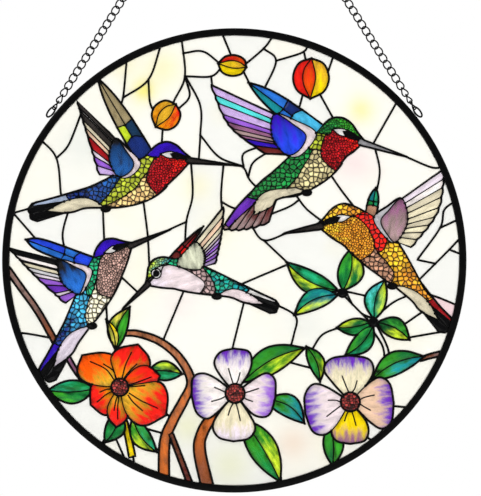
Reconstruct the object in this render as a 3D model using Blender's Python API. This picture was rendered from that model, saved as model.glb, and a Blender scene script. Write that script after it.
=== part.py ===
"""A round stained glass suncatcher: glass panes in soldered leading, a channel frame and a hanging chain.

The panel stands in the XZ plane, with its front towards -Y and +Z up. The origin is the point where a hook
bears in the chain's middle link. Metres, apart from the picture, which is drawn on a sheet of its own
centred on the disc and is scaled with the disc.
"""

import math

import bmesh
import bpy
from mathutils import Matrix, Vector
from mathutils.geometry import delaunay_2d_cdt, intersect_line_line_2d

# The disc, its channel frame and its leading
DISC_DIAMETER = 0.300
FRAME_FACE = 0.0047
FRAME_WEB = 0.0012
FRAME_LIP = 0.0010
LEAD_DEPTH = 0.0044
LEAD_WIDTH = 0.0012
LEAD_SHOWN = 0.0006
GLASS_THICKNESS = 0.0030
FIT = 0.0003
FRAME_SIDES = 60

# The hanging chain and the eyelets that it is hooked into
HOOK_HEIGHT = 0.134
EYELET_ANGLE = math.radians(39.0)
EYELET_WIRE = 0.0012
EYELET_LENGTH = 0.0090
EYELET_WIDTH = 0.0046
LINK_PITCH = 0.0053
LINK_WIRE = 0.00095
LINK_WIDTH = 0.0055
LINK_TWIST = 0.0015
END_TURN = math.radians(80.0)
TURNED_LINKS = 10
LINK_STATIONS = 6
MIDDLE_STATIONS = 8
EYELET_STATIONS = 12
WIRE_SIDES = 3
WIRE_SPREAD = 0.58

# The picture is drawn in units of which this many make the disc's radius
UNITS_IN_RADIUS = 150
WELD = 0.25
SMALLEST_PANE = 45.0
BORDER_TOLERANCE = 0.7
SMALLEST_PART = 20.0
SMALLEST_STEP = 0.05
LEAF_STEPS = 4
HEART_MARGIN = 4.0
SPINE_STEPS = 7
FULLEST = 0.4
TIED = ("ground", "_petals")

disc_radius = DISC_DIAMETER / 2
picture_scale = disc_radius / UNITS_IN_RADIUS
channel_width = LEAD_DEPTH + 2 * FIT
frame_depth = channel_width + 2 * FRAME_LIP
border_outer = disc_radius - FRAME_WEB - FIT
border_inner = disc_radius - FRAME_FACE - LEAD_SHOWN


# Birds: places on the sheet and radii, in its units
BIRDS = {
    "blue_bird": {
        "head": (-43.0, 66.5), "head_radius": 9.6, "bill_tip": (-6.0, 61.7),
        "breast": (-62.0, 49.0), "breast_radius": 12.6, "vent": (-98.0, 36.5), "vent_radius": 3.8,
        "tail_tip": (-131.0, 33.0), "tail_spread": 5.6,
        "near_front": (-62.0, 63.5), "near_tip": (-98.5, 100.5), "near_trail": (-80.0, 52.5),
        "near_root": (-69.0, 52.0), "far_root": (-55.0, 65.0), "far_tip": (-88.5, 117.0), "far_width": 8.5,
        "colour": (0.03, 0.16, 0.62), "wing_colour": (0.42, 0.27, 0.55),
    },
    "violet_bird": {
        "head": (-80.0, 4.5), "head_radius": 8.8, "bill_tip": (-42.5, 19.6),
        "breast": (-87.5, -16.0), "breast_radius": 11.0, "vent": (-103.5, -50.0), "vent_radius": 4.6,
        "tail_tip": (-121.5, -73.5), "tail_spread": 6.2,
        "near_front": (-92.0, -9.5), "near_tip": (-146.5, 8.0), "near_trail": (-107.0, -26.0),
        "near_root": (-96.5, -19.5), "far_root": (-86.0, -5.5), "far_tip": (-134.0, 13.4), "far_width": 5.0,
        "colour": (0.11, 0.10, 0.52), "wing_colour": (0.35, 0.20, 0.62),
    },
    "pale_bird": {
        "head": (-47.0, -6.5), "head_radius": 8.2, "bill_tip": (-72.5, -31.5),
        "breast": (-28.0, -11.5), "breast_radius": 9.6, "vent": (-0.5, -20.5), "vent_radius": 3.8,
        "tail_tip": (24.5, -28.0), "tail_spread": 4.6,
        "near_front": (-36.5, -1.5), "near_tip": (-6.0, 34.0), "near_trail": (-18.5, -5.0),
        "near_root": (-24.5, -5.0), "far_root": (-39.0, -3.0), "far_tip": (-12.5, 33.5), "far_width": 3.4,
        "colour": (0.30, 0.45, 0.30), "wing_colour": (0.62, 0.42, 0.66),
    },
    "green_bird": {
        "head": (67.0, 82.0), "head_radius": 10.6, "bill_tip": (113.0, 66.5),
        "breast": (52.0, 63.0), "breast_radius": 13.2, "vent": (24.0, 43.0), "vent_radius": 6.0,
        "tail_tip": (-2.5, 24.0), "tail_spread": 10.0,
        "near_front": (52.5, 80.0), "near_tip": (-13.0, 113.5), "near_trail": (33.5, 66.5),
        "near_root": (43.0, 68.0), "far_root": (56.0, 78.0), "far_tip": (9.0, 114.0), "far_width": 8.4,
        "colour": (0.02, 0.36, 0.14), "wing_colour": (0.22, 0.13, 0.62),
    },
    "gold_bird": {
        "head": (72.0, 26.0), "head_radius": 10.2, "bill_tip": (31.0, 17.0),
        "breast": (93.0, 8.5), "breast_radius": 13.6, "vent": (117.0, -19.5), "vent_radius": 6.0,
        "tail_tip": (136.5, -42.5), "tail_spread": 7.2,
        "near_front": (92.0, 30.5), "near_tip": (135.5, 58.0), "near_trail": (114.5, 11.5),
        "near_root": (99.0, 17.0), "far_root": (91.0, 26.0), "far_tip": (89.0, 44.5), "far_width": 5.0,
        "colour": (0.62, 0.28, 0.03), "wing_colour": (0.78, 0.62, 0.42),
    },
}

# How a petal swells: shares of its length, each with its share of the width
ROUND = ((0.42, 0.78), (0.70, 0.95), (0.92, 0.58))

# Blossoms: centre, disc radius, colour and petals as (direction in degrees, length, width)
BLOSSOMS = {
    "lily": ((-74.0, -82.0), 5.4, (0.85, 0.10, 0.02),
             [(122, 29, 24), (72, 29, 24), (5, 27, 20), (325, 33, 24), (258, 24, 14), (212, 24, 24)]),
    "cream_blossom": ((0.5, -86.0), 6.2, (0.80, 0.66, 0.74),
                      [(92, 30, 27), (182, 29, 27), (272, 33, 27), (358, 27, 28)]),
    "purple_blossom": ((75.0, -91.5), 6.2, (0.46, 0.28, 0.72),
                       [(88, 30, 27), (2, 28, 27), (270, 26, 23), (182, 30, 28)]),
}

# Leaves: each name has one or more blades as (base, tip, width, bend)
LEAVES = {
    "leaf_above_lily": [((-76.5, -58.0), (-67.5, -30.0), 12.0, 0.12),
                        ((-77.0, -58.0), (-83.0, -38.0), 5.5, -0.1)],
    "leaf_right_of_lily": [((-55.0, -71.0), (-33.5, -73.5), 12.5, 0.05)],
    "leaf_left_of_lily": [((-90.0, -83.0), (-112.5, -83.5), 14.0, 0.05)],
    "leaf_below_lily_left": [((-75.0, -97.0), (-82.5, -115.5), 11.5, 0.12)],
    "leaf_below_lily_right": [((-66.0, -101.0), (-54.0, -124.0), 12.0, -0.1)],
    "leaf_above_cream": [((5.0, -79.0), (43.5, -58.0), 17.0, 0.08),
                         ((45.0, -55.5), (54.5, -77.5), 10.0, 0.1)],
    "leaf_right_of_cream": [((23.0, -93.0), (44.5, -104.5), 13.5, 0.15)],
    "leaf_below_cream": [((12.0, -106.0), (28.5, -137.0), 15.5, 0.12)],
    "leaf_below_purple": [((62.5, -108.0), (63.0, -126.0), 12.0, 0.05)],
    "leaf_above_purple": [((90.0, -77.0), (122.5, -63.0), 14.5, 0.1)],
    "left_sprig": [((72.5, -22.0), (34.5, -2.0), 12.0, 0.12), ((68.0, -25.0), (75.0, 6.5), 15.0, -0.12),
                   ((74.0, -21.0), (39.5, -35.5), 11.5, -0.12)],
    "right_sprig": [((88.0, -47.0), (96.5, -14.0), 13.0, 0.1), ((95.0, -43.5), (66.5, -44.0), 11.0, 0.1),
                    ((84.0, -41.5), (114.5, -51.0), 11.0, 0.1), ((93.5, -38.5), (73.0, -61.5), 10.0, 0.1)],
}

# Branches: points on the sheet, with the width at each end
BRANCHES = {
    "branch_right_of_lily": ([(-63.5, -48.5), (-46.5, -53.5), (-34.5, -63.5), (-27.0, -77.0), (-34.0, -92.0),
                              (-40.5, -106.0), (-46.0, -119.0), (-46.5, -144.0)], 3.4, 7.2),
    "branch_below_lily": ([(-71.0, -104.0), (-68.0, -117.0), (-66.0, -127.0)], 3.6, 4.2),
    "branch_below_cream": ([(-13.0, -99.0), (-20.0, -111.0), (-22.5, -122.5), (-19.0, -135.5)], 6.6, 7.4),
    "twig_left": ([(-137.0, -17.0), (-129.0, -28.0), (-120.5, -42.0), (-112.0, -60.0)], 3.4, 3.6),
}

# Buds: centre, half width and half height
BUDS = {
    "bud_left": ((-44.0, 94.0), 9.4, 9.4),
    "bud_middle": ((-0.8, 126.0), 8.8, 6.6),
    "bud_right": ((49.6, 118.3), 11.4, 12.6),
}

# Stems that are only a lead line, and the bends of the ties under two bills
STEM_ROUTES = [
    [(69.0, -20.0), (80.0, -32.0), (90.0, -41.0)],
]
BEND_UNDER_BLUE_BILL = (-8.0, 48.0)
BEND_UNDER_GOLD_BILL = (20.0, 4.0)

# The two petals that each blossom's seed disc is tied to the ground between, and how far the tie runs on
HEART_GAPS = {"lily": (4, 3), "cream_blossom": (1, 2), "purple_blossom": (0, 3)}
TIE_OVERRUN = 1.2
TAIL_NOTCH = 6.0

# Colours for the rest, as linear red, green and blue
LEAF_GREEN = (0.10, 0.42, 0.05)
BRANCH_BROWN = (0.30, 0.11, 0.03)
BUD_ORANGE = (0.95, 0.36, 0.02)
SEED_RED = (0.16, 0.01, 0.01)
OPAL_WHITE = (0.86, 0.85, 0.78)
BLACK_METAL = (0.010, 0.010, 0.011)


def clear_scene():
    """Remove every object that the file holds."""
    for thing in list(bpy.data.objects):
        bpy.data.objects.remove(thing, do_unlink=True)


def make_material(name, colour, roughness, metallic=0.0, transmission=0.0):
    """Return a Principled material in one colour."""
    material = bpy.data.materials.new(name)
    material.use_nodes = True
    shader = material.node_tree.nodes["Principled BSDF"]
    shader.inputs["Base Color"].default_value = (*colour, 1.0)
    shader.inputs["Roughness"].default_value = roughness
    shader.inputs["Metallic"].default_value = metallic
    shader.inputs["Transmission Weight"].default_value = transmission
    material.diffuse_color = (*colour, 1.0)
    return material


def add_object(name, body, material):
    """Turn a bmesh into a named object."""
    mesh = bpy.data.meshes.new(name)
    body.to_mesh(mesh)
    body.free()
    mesh.materials.append(material)
    thing = bpy.data.objects.new(name, mesh)
    bpy.context.scene.collection.objects.link(thing)
    return thing


def rim(degrees, radius=UNITS_IN_RADIUS):
    """Return the point at an angle on the sheet's edge."""
    return radius * math.cos(math.radians(degrees)), radius * math.sin(math.radians(degrees))


def bowed(start, end, bow, steps):
    """Return points from start to end on an arc that bows to the left by a share of its length."""
    start, end = Vector(start), Vector(end)
    run = end - start
    side = Vector((-run.y, run.x)) * bow
    shares = [step / steps for step in range(steps + 1)]
    return [start + run * share + side * 4 * share * (1 - share) for share in shares]


def ellipse(centre, half_width, half_height, sides):
    """Return the points of an upright ellipse, counter-clockwise."""
    points = []
    for side in range(sides):
        turn = 2 * math.pi * side / sides
        points.append(Vector((half_width * math.cos(turn), half_height * math.sin(turn))) + Vector(centre))
    return points


def leaf(base, tip, width, bend):
    """Return a pointed leaf whose midrib bends by a share of its length."""
    middle = bowed(base, tip, bend, LEAF_STEPS)
    across = (Vector(tip) - Vector(base)).normalized()
    across = Vector((-across.y, across.x))
    halves = [width / 2 * math.sin(math.pi * (step / LEAF_STEPS) ** 0.85) for step in range(LEAF_STEPS + 1)]
    left = [point + across * half for point, half in zip(middle, halves)][1:-1]
    right = [point - across * half for point, half in zip(middle, halves)][1:-1]
    return [middle[0], *right, middle[-1], *reversed(left)]


def petal(centre, degrees, length, width):
    """Return a round petal that starts at its blossom's centre."""
    along = Vector((math.cos(math.radians(degrees)), math.sin(math.radians(degrees))))
    across = Vector((-along.y, along.x)) * width / 2
    centre = Vector(centre)
    right = [centre + along * length * place - across * share for place, share in ROUND]
    left = [centre + along * length * place + across * share for place, share in reversed(ROUND)]
    return [centre, *right, centre + along * length, *left]


def strip(points, first_width, last_width):
    """Return a ribbon along some points, whose width runs evenly from one end to the other."""
    points = [Vector(point) for point in points]
    left, right = [], []
    for place, point in enumerate(points):
        before = points[max(place - 1, 0)]
        after = points[min(place + 1, len(points) - 1)]
        across = (after - before).normalized()
        across = Vector((-across.y, across.x))
        half = (first_width + (last_width - first_width) * place / (len(points) - 1)) / 2
        left.append(point + across * half)
        right.append(point - across * half)
    return [*right, *reversed(left)]


def along_spine(bird, share):
    """Return the centre, the direction and the half width of a bird's body at a share of its length."""
    head, breast, vent = Vector(bird["head"]), Vector(bird["breast"]), Vector(bird["vent"])
    control = breast * 2 - (head + vent) / 2
    centre = head * (1 - share) ** 2 + control * 2 * share * (1 - share) + vent * share**2
    heading = ((control - head) * (1 - share) + (vent - control) * share).normalized()
    neck, full, end = bird["head_radius"] * 0.92, bird["breast_radius"], bird["vent_radius"]
    if share < FULLEST:
        half = neck + (full - neck) * math.sin(math.pi / 2 * share / FULLEST)
    else:
        half = full + (end - full) * (1 - math.cos(math.pi / 2 * (share - FULLEST) / (1 - FULLEST)))
    return centre, heading, half


def body_outline(bird):
    """Return the body from neck to vent, wide at the breast."""
    left, right = [], []
    for step in range(SPINE_STEPS + 1):
        centre, heading, half = along_spine(bird, step / SPINE_STEPS)
        across = Vector((-heading.y, heading.x)) * half
        left.append(centre + across)
        right.append(centre - across)
    return [*right, *reversed(left)]


def bill_outline(bird):
    """Return the face, which narrows from the head's width, and the thin bill up to its tip."""
    head, tip = Vector(bird["head"]), Vector(bird["bill_tip"])
    along = (tip - head).normalized() * bird["head_radius"]
    across = Vector((-along.y, along.x))
    root = head + along * 1.7
    return [head - across * 0.85, root - across * 0.2, tip, root + across * 0.2, head + across * 0.85]


def tail_outline(bird):
    """Return the tail, which leaves the vent and spreads to a shallow fork."""
    vent, tip = Vector(bird["vent"]), Vector(bird["tail_tip"])
    along = (tip - vent).normalized()
    across = Vector((-along.y, along.x))
    half, spread = bird["vent_radius"] * 0.9, bird["tail_spread"]
    fork, waist = tip - along * TAIL_NOTCH, (tip - vent).length * 0.45
    return [vent - across * half, vent + along * waist - across * half * 1.15, tip - across * spread, fork,
            tip + across * spread, vent + along * waist + across * half * 1.15, vent + across * half]


def near_wing_outline(bird):
    """Return the wing on the viewer's side: a leading edge, a tip and a bulging fan of feathers."""
    front, tip = Vector(bird["near_front"]), Vector(bird["near_tip"])
    trail, root = Vector(bird["near_trail"]), Vector(bird["near_root"])
    side = -1 if (tip - front).cross(trail - front) > 0 else 1
    leading = bowed(front, tip, 0.05 * side, 2)
    trailing = bowed(tip, trail, 0.11 * side, 4)
    return [*leading[:-1], *trailing, root]


def far_wing_outline(bird):
    """Return the wing behind the bird: one long blade."""
    root, tip = Vector(bird["far_root"]), Vector(bird["far_tip"])
    along = (tip - root).normalized()
    across = Vector((-along.y, along.x)) * bird["far_width"]
    length = (tip - root).length
    upper = [root + along * length * s + across * w for s, w in ((0.0, 0.8), (0.5, 1.0), (0.85, 0.7))]
    lower = [root + along * length * s - across * w for s, w in ((0.85, 0.7), (0.5, 1.0), (0.0, 0.8))]
    return [*upper, tip, *lower]


def picture_shapes():
    """Return the picture's figures as (node name, outline), from the back to the front."""
    shapes = []
    for name, (points, first, last) in BRANCHES.items():
        shapes.append((name, strip(points, first, last)))
    for name, blades in LEAVES.items():
        for blade in blades:
            shapes.append((name, leaf(*blade)))
    for name, (centre, seed_radius, colour, petals) in BLOSSOMS.items():
        for degrees, length, width in petals:
            shapes.append((name + "_petals", petal(centre, degrees, length, width)))
        heart = seed_radius + HEART_MARGIN
        shapes.append((name + "_petals", ellipse(centre, heart, heart, 8)))
        shapes.append((name + "_centre", ellipse(centre, seed_radius, seed_radius, 8)))
    for name, (centre, half_width, half_height) in BUDS.items():
        shapes.append((name, ellipse(centre, half_width, half_height, 10)))
    for name, bird in BIRDS.items():
        shapes.append((name + "_far_wing", far_wing_outline(bird)))
        shapes.append((name + "_tail", tail_outline(bird)))
        shapes.append((name + "_body", body_outline(bird)))
        shapes.append((name + "_body", ellipse(bird["head"], bird["head_radius"], bird["head_radius"], 12)))
        shapes.append((name + "_body", bill_outline(bird)))
        shapes.append((name + "_near_wing", near_wing_outline(bird)))
    return shapes


def notch_depth(centre, petals, degrees):
    """Return how far from a blossom's centre its last petal ends in some direction."""
    centre = Vector(centre)
    far = centre + Vector(rim(degrees))
    depth = 0.0
    for blade in petals:
        outline = petal(centre, *blade)
        for i in range(len(outline)):
            crossing = intersect_line_line_2d(centre, far, outline[i - 1], outline[i])
            if crossing:
                depth = max(depth, (crossing - centre).length)
    return depth


def seams():
    """Return the lead lines that cross the ground and tie the figures to each other and to the frame."""
    lines = list(STEM_ROUTES)
    lines += [
        [BUDS["bud_left"][0], BIRDS["blue_bird"]["head"]],
        [rim(90), BUDS["bud_middle"][0], BIRDS["green_bird"]["far_tip"]],
        [rim(68), BUDS["bud_right"][0]],
        [BIRDS["blue_bird"]["bill_tip"], BEND_UNDER_BLUE_BILL, BIRDS["pale_bird"]["near_tip"]],
        [BIRDS["gold_bird"]["bill_tip"], BEND_UNDER_GOLD_BILL, BIRDS["pale_bird"]["vent"]],
        [BIRDS["pale_bird"]["vent"], LEAVES["left_sprig"][2][1]],
        [LEAVES["leaf_above_purple"][0][1], rim(-24.5)],
        [BIRDS["pale_bird"]["bill_tip"], LEAVES["leaf_above_lily"][0][1]],
    ]
    for name, (first, second) in HEART_GAPS.items():
        centre, seed_radius, colour, petals = BLOSSOMS[name]
        turn = (petals[second][0] - petals[first][0] + 180) % 360 - 180
        between = petals[first][0] + turn / 2
        reach = max(seed_radius + HEART_MARGIN, notch_depth(centre, petals, between)) + TIE_OVERRUN
        lines.append([centre, Vector(centre) + Vector(rim(between, reach))])
    return [[Vector(point) for point in line] for line in lines]


def counter_clockwise(points):
    """Return an outline turned the right way round."""
    area = sum(points[i - 1].cross(points[i]) for i in range(len(points)))
    return points if area > 0 else list(reversed(points))


def partition(edge, shapes, lines):
    """Cut the sheet into regions: one for each figure's part and each field of ground between lines.

    Return the points, the triangles, each triangle's region and the edges that lie on a line.
    """
    points, line_edges, faces = [], [], []
    for outline in [edge] + [outline for name, outline in shapes]:
        start = len(points)
        points.extend(counter_clockwise(outline))
        faces.append(list(range(start, len(points))))
    for line in lines:
        start = len(points)
        points.extend(line)
        line_edges.extend((place, place + 1) for place in range(start, len(points) - 1))
    cut = delaunay_2d_cdt(points, line_edges, faces, 0, WELD, True)
    out_points, out_edges, out_faces, _, edge_sources, face_sources = cut
    names = ["ground"] + [name for name, outline in shapes]
    triangles, owners = [], []
    for face, sources in zip(out_faces, face_sources):
        if 0 in sources:
            triangles.append(tuple(face))
            owners.append(names[max(sources)])
    sides = shared_edges(triangles)
    seam_edges = set()
    for out_edge, sources in zip(out_edges, edge_sources):
        beside = [owners[place] for place in sides.get(frozenset(out_edge), ())]
        between = len(beside) == 2 and beside[0] == beside[1] and beside[0].endswith(TIED)
        if between and any(source < len(line_edges) for source in sources):
            seam_edges.add(frozenset(out_edge))
    regions = join_regions(out_points, triangles, owners, seam_edges)
    return out_points, triangles, regions, seam_edges


def triangle_area(points, triangle):
    """Return a triangle's area."""
    a, b, c = (points[corner] for corner in triangle)
    return abs((b - a).cross(c - a)) / 2


def shared_edges(triangles):
    """Return each edge's triangles."""
    sides = {}
    for place, triangle in enumerate(triangles):
        for corner in range(3):
            sides.setdefault(frozenset((triangle[corner - 1], triangle[corner])), []).append(place)
    return sides


def join_regions(points, triangles, owners, seam_edges):
    """Join triangles into regions, and give away those too small to be a pane."""
    sides = shared_edges(triangles)
    region = list(range(len(triangles)))

    def top(place):
        while region[place] != place:
            region[place] = region[region[place]]
            place = region[place]
        return place

    for side, pair in sides.items():
        if len(pair) == 2 and owners[pair[0]] == owners[pair[1]] and side not in seam_edges:
            region[top(pair[0])] = top(pair[1])
    while True:
        areas = {}
        for place, triangle in enumerate(triangles):
            areas[top(place)] = areas.get(top(place), 0.0) + triangle_area(points, triangle)
        largest = {}
        for place, area in areas.items():
            if area > areas.get(largest.get(owners[place], -1), 0.0):
                largest[owners[place]] = place
        stray = [place for place, area in areas.items() if area < SMALLEST_PANE or owners[place] != "ground"]
        stray = [place for place in stray if largest[owners[place]] != place]
        if not stray:
            break
        smallest = min(stray, key=lambda place: areas[place])
        borders = {}
        for side, pair in sides.items():
            if len(pair) == 2 and smallest in (top(pair[0]), top(pair[1])) and top(pair[0]) != top(pair[1]):
                other = top(pair[0]) if top(pair[1]) == smallest else top(pair[1])
                borders.setdefault(other, []).append(side)
        lengths = {}
        for other, edges in borders.items():
            lengths[other] = sum((points[a] - points[b]).length for a, b in edges)
        chosen = max(lengths, key=lengths.get)
        seam_edges.difference_update(borders[chosen])
        region[smallest] = chosen
    named = {}
    for place in range(len(triangles)):
        home = top(place)
        named.setdefault(home, owners[home] if owners[home] != "ground" else f"ground_{home}")
    return [named[top(place)] for place in range(len(triangles))]


def outline_loops(points, triangles, kept=None, walls=()):
    """Return the closed outlines round some triangles, with the inside on the left.

    Only the kept points stay, and an edge in walls is an outline on both of its sides.
    """
    following = {}
    for triangle in triangles:
        for corner in range(3):
            following.setdefault(triangle[corner - 1], set()).add(triangle[corner])
    for first in list(following):
        for second in list(following[first]):
            if first in following.get(second, ()) and frozenset((first, second)) not in walls:
                following[first].discard(second)
                following[second].discard(first)
    loops = []
    while any(following.values()):
        start = next(point for point, after in following.items() if after)
        loop = [start]
        current = following[start].pop()
        while current != start:
            back = points[loop[-1]] - points[current]
            choices = following[current]

            def turn(choice, back=back, current=current):
                ahead = points[choice] - points[current]
                return (math.atan2(back.y, back.x) - math.atan2(ahead.y, ahead.x)) % (2 * math.pi)

            chosen = min(choices, key=turn)
            choices.discard(chosen)
            loop.append(current)
            current = chosen
        loops.append([points[place] for place in loop if kept is None or place in kept])
    return loops


def corner_points(points, triangles, regions, walls):
    """Return the points that the regions' shared borders need, leaving out those on nearly straight runs."""
    sides = shared_edges(triangles)
    beside = {}
    for side, pair in sides.items():
        if len(pair) == 1 or regions[pair[0]] != regions[pair[1]] or side in walls:
            first, second = side
            beside.setdefault(first, []).append(second)
            beside.setdefault(second, []).append(first)
    kept = {place for place, others in beside.items() if len(others) != 2}
    walked = set()
    for start in sorted(kept) + sorted(beside):
        for ahead in beside[start]:
            if (start, ahead) in walked:
                continue
            run = [start, ahead]
            while run[-1] != start and run[-1] not in kept:
                run.append(next(place for place in beside[run[-1]] if place != run[-2]))
            walked.update(zip(run, run[1:]))
            walked.update(zip(run[1:], run))
            if run[-1] == start:
                half = len(run) // 2
                kept.update((start, run[half]))
                keep_bends(points, run[:half + 1], kept)
                keep_bends(points, run[half:], kept)
            else:
                keep_bends(points, run, kept)
    return kept


def keep_bends(points, run, kept):
    """Keep the point of a run that lies furthest from its chord, and so on down to the tolerance."""
    if len(run) < 3:
        return
    first, chord = points[run[0]], points[run[-1]] - points[run[0]]
    away = [abs(chord.cross(points[place] - first)) / max(chord.length, 1e-6) for place in run]
    furthest = max(range(len(run)), key=lambda i: away[i])
    if away[furthest] > BORDER_TOLERANCE:
        kept.add(run[furthest])
        keep_bends(points, run[:furthest + 1], kept)
        keep_bends(points, run[furthest:], kept)


def winding(place, loops):
    """Return how many times some loops run round a place."""
    count = 0
    for loop in loops:
        for i in range(len(loop)):
            a, b = loop[i - 1], loop[i]
            if (a.y <= place.y) != (b.y <= place.y):
                if (b - a).cross(place - a) > 0 and b.y > a.y:
                    count += 1
                elif (b - a).cross(place - a) < 0 and b.y < a.y:
                    count -= 1
    return count


def fill(loops):
    """Return the points and the triangles of the area inside some loops."""
    points, edges = [], []
    for loop in loops:
        start = len(points)
        points.extend(loop)
        edges.extend((start + i, start + (i + 1) % len(loop)) for i in range(len(loop)))
    cut = delaunay_2d_cdt(points, edges, [], 0, 0.002, False)
    out_points, out_faces = cut[0], cut[2]
    inside = []
    for face in out_faces:
        middle = sum((out_points[corner] for corner in face), Vector((0.0, 0.0))) / 3
        if winding(middle, loops) > 0:
            inside.append(tuple(face))
    return out_points, inside


def separate_parts(points, triangles):
    """Return the connected parts of some triangles, the largest first."""
    sides = shared_edges(triangles)
    beside = {place: [] for place in range(len(triangles))}
    for pair in sides.values():
        if len(pair) == 2:
            beside[pair[0]].append(pair[1])
            beside[pair[1]].append(pair[0])
    seen, parts = set(), []
    for first in beside:
        if first in seen:
            continue
        part, queue = [], [first]
        seen.add(first)
        while queue:
            place = queue.pop()
            part.append(triangles[place])
            for other in beside[place]:
                if other not in seen:
                    seen.add(other)
                    queue.append(other)
        parts.append(part)
    return sorted(parts, key=lambda part: -sum(triangle_area(points, triangle) for triangle in part))


def inset(loops, distance):
    """Return the parts of an area that keep a distance from its edge, each as loops, the largest first."""
    moved = []
    for loop in loops:
        ring = []
        for i in range(len(loop)):
            before, corner, after = loop[i - 1], loop[i], loop[(i + 1) % len(loop)]
            first, second = (corner - before).normalized(), (after - corner).normalized()
            first_in, second_in = Vector((-first.y, first.x)), Vector((-second.y, second.x))
            if first.cross(second) >= 0:
                ring += [corner + first_in * distance, corner, corner + second_in * distance]
            elif first_in.dot(second_in) > -0.5:
                ring.append(corner + (first_in + second_in) * distance / (1 + first_in.dot(second_in)))
            else:
                ring += [corner + first_in * distance, corner + second_in * distance]
        moved.append(ring)
    points, triangles = fill(moved)
    parts = separate_parts(points, triangles)
    parts = [part for part in parts if sum(triangle_area(points, t) for t in part) > SMALLEST_PART]
    return [[tidy_loop(loop) for loop in outline_loops(points, part)] for part in parts]


def tidy_loop(loop):
    """Drop points that lie on a straight run or on top of their neighbour."""
    kept = list(loop)
    changed = True
    while changed and len(kept) > 3:
        changed = False
        for i in range(len(kept)):
            before, corner, after = kept[i - 1], kept[i], kept[(i + 1) % len(kept)]
            run = after - before
            aside = abs(run.cross(corner - before))
            if (corner - before).length < SMALLEST_STEP or aside < 0.02 * max(run.length, SMALLEST_STEP):
                del kept[i]
                changed = True
                break
    return kept


def prism(name, loops, depth, centre_height, material):
    """Make a plate with the outline of some loops, centred on the panel's plane."""
    points, triangles = fill(loops)
    body = bmesh.new()
    used = sorted({corner for triangle in triangles for corner in triangle})
    front = {}
    for place in used:
        x, z = points[place] * picture_scale
        front[place] = body.verts.new((x, -depth / 2, z + centre_height))
    for triangle in triangles:
        body.faces.new([front[corner] for corner in triangle])
    result = bmesh.ops.extrude_face_region(body, geom=body.faces[:], use_keep_orig=True)
    moved = [item for item in result["geom"] if isinstance(item, bmesh.types.BMVert)]
    bmesh.ops.translate(body, verts=moved, vec=(0.0, depth, 0.0))
    bmesh.ops.recalc_face_normals(body, faces=body.faces[:])
    return add_object(name, body, material)


def turned_ring(name, profile, sides, centre_height, material):
    """Sweep a closed profile of (radius, y) round the disc's axis."""
    body = bmesh.new()
    rings = []
    for side in range(sides):
        angle = 2 * math.pi * side / sides
        rings.append([body.verts.new((radius * math.cos(angle), y, radius * math.sin(angle) + centre_height))
                      for radius, y in profile])
    for side in range(sides):
        here, there = rings[side], rings[(side + 1) % sides]
        for place in range(len(profile)):
            after = (place + 1) % len(profile)
            body.faces.new((here[place], here[after], there[after], there[place]))
    bmesh.ops.recalc_face_normals(body, faces=body.faces[:])
    return add_object(name, body, material)


def wire_loop(body, path, wire_radius, sides, first_turn):
    """Add a closed wire of a few sides along a closed path of points, and return its rings of corners."""
    middle = sum(path, Vector()) / len(path)
    rings = []
    for i in range(len(path)):
        along = (path[(i + 1) % len(path)] - path[i - 1]).normalized()
        inward = middle - path[i]
        inward = (inward - along * inward.dot(along)).normalized()
        beside = along.cross(inward)
        ring = []
        for side in range(sides):
            angle = first_turn + 2 * math.pi * side / sides
            outward = inward * math.cos(angle) + beside * math.sin(angle)
            ring.append(body.verts.new(path[i] + outward * wire_radius))
        rings.append(ring)
    for i in range(len(rings)):
        here, there = rings[i], rings[(i + 1) % len(rings)]
        for side in range(sides):
            after = (side + 1) % sides
            body.faces.new((here[side], here[after], there[after], there[side]))
    return rings


def oval_path(half_length, half_width, twist, stations):
    """Return an oval along X in the XZ plane, flat at its ends, which are twisted out of the plane."""
    path = []
    flat = math.cos(math.pi / stations)
    for station in range(stations):
        t = 2 * math.pi * (station + 0.5) / stations
        lift = -twist / 2 * math.sin(2 * t)
        path.append(Vector((half_length * math.cos(t) / flat, lift, half_width * math.sin(t))))
    return path


def inner_face(rings, first):
    """Return the face of a wire that looks into its loop, just after a station."""
    second = (first + 1) % len(rings)
    corners = {*rings[first][:2], *rings[second][:2]}
    return next(face for face in rings[first][0].link_faces if set(face.verts) == corners)


def strand(name, start, end, count, material):
    """Make one strand of twisted links from the middle link to the eyelet, fused where they touch."""
    along = (end - start).normalized()
    pitch = (end - start).length / count
    half_length = pitch / 2 + LINK_WIRE / 4
    half_width = (LINK_WIDTH - LINK_WIRE) / 2
    lead = Matrix.Rotation(-math.atan2(along.z, along.x), 4, "Y")
    body = bmesh.new()
    links = []
    for number in range(count):
        from_start = max(0.0, 1.0 - number / TURNED_LINKS)
        from_end = max(0.0, 1.0 - (count - 1 - number) / TURNED_LINKS)
        turn = Matrix.Rotation(END_TURN * (from_start - from_end), 4, "X")
        place = Matrix.Translation(start + along * pitch * (number + 0.5)) @ lead @ turn
        path = [place @ point for point in oval_path(half_length, half_width, LINK_TWIST, LINK_STATIONS)]
        links.append(wire_loop(body, path, LINK_WIRE * WIRE_SPREAD, WIRE_SIDES, -math.pi / WIRE_SIDES))
    for link, following in zip(links, links[1:]):
        touching = [inner_face(link, LINK_STATIONS - 1), inner_face(following, LINK_STATIONS // 2 - 1)]
        rims = [edge for face in touching for edge in face.edges]
        bmesh.ops.delete(body, geom=touching, context="FACES_ONLY")
        bmesh.ops.bridge_loops(body, edges=rims)
    bmesh.ops.recalc_face_normals(body, faces=body.faces[:])
    return add_object(name, body, material)


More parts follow.
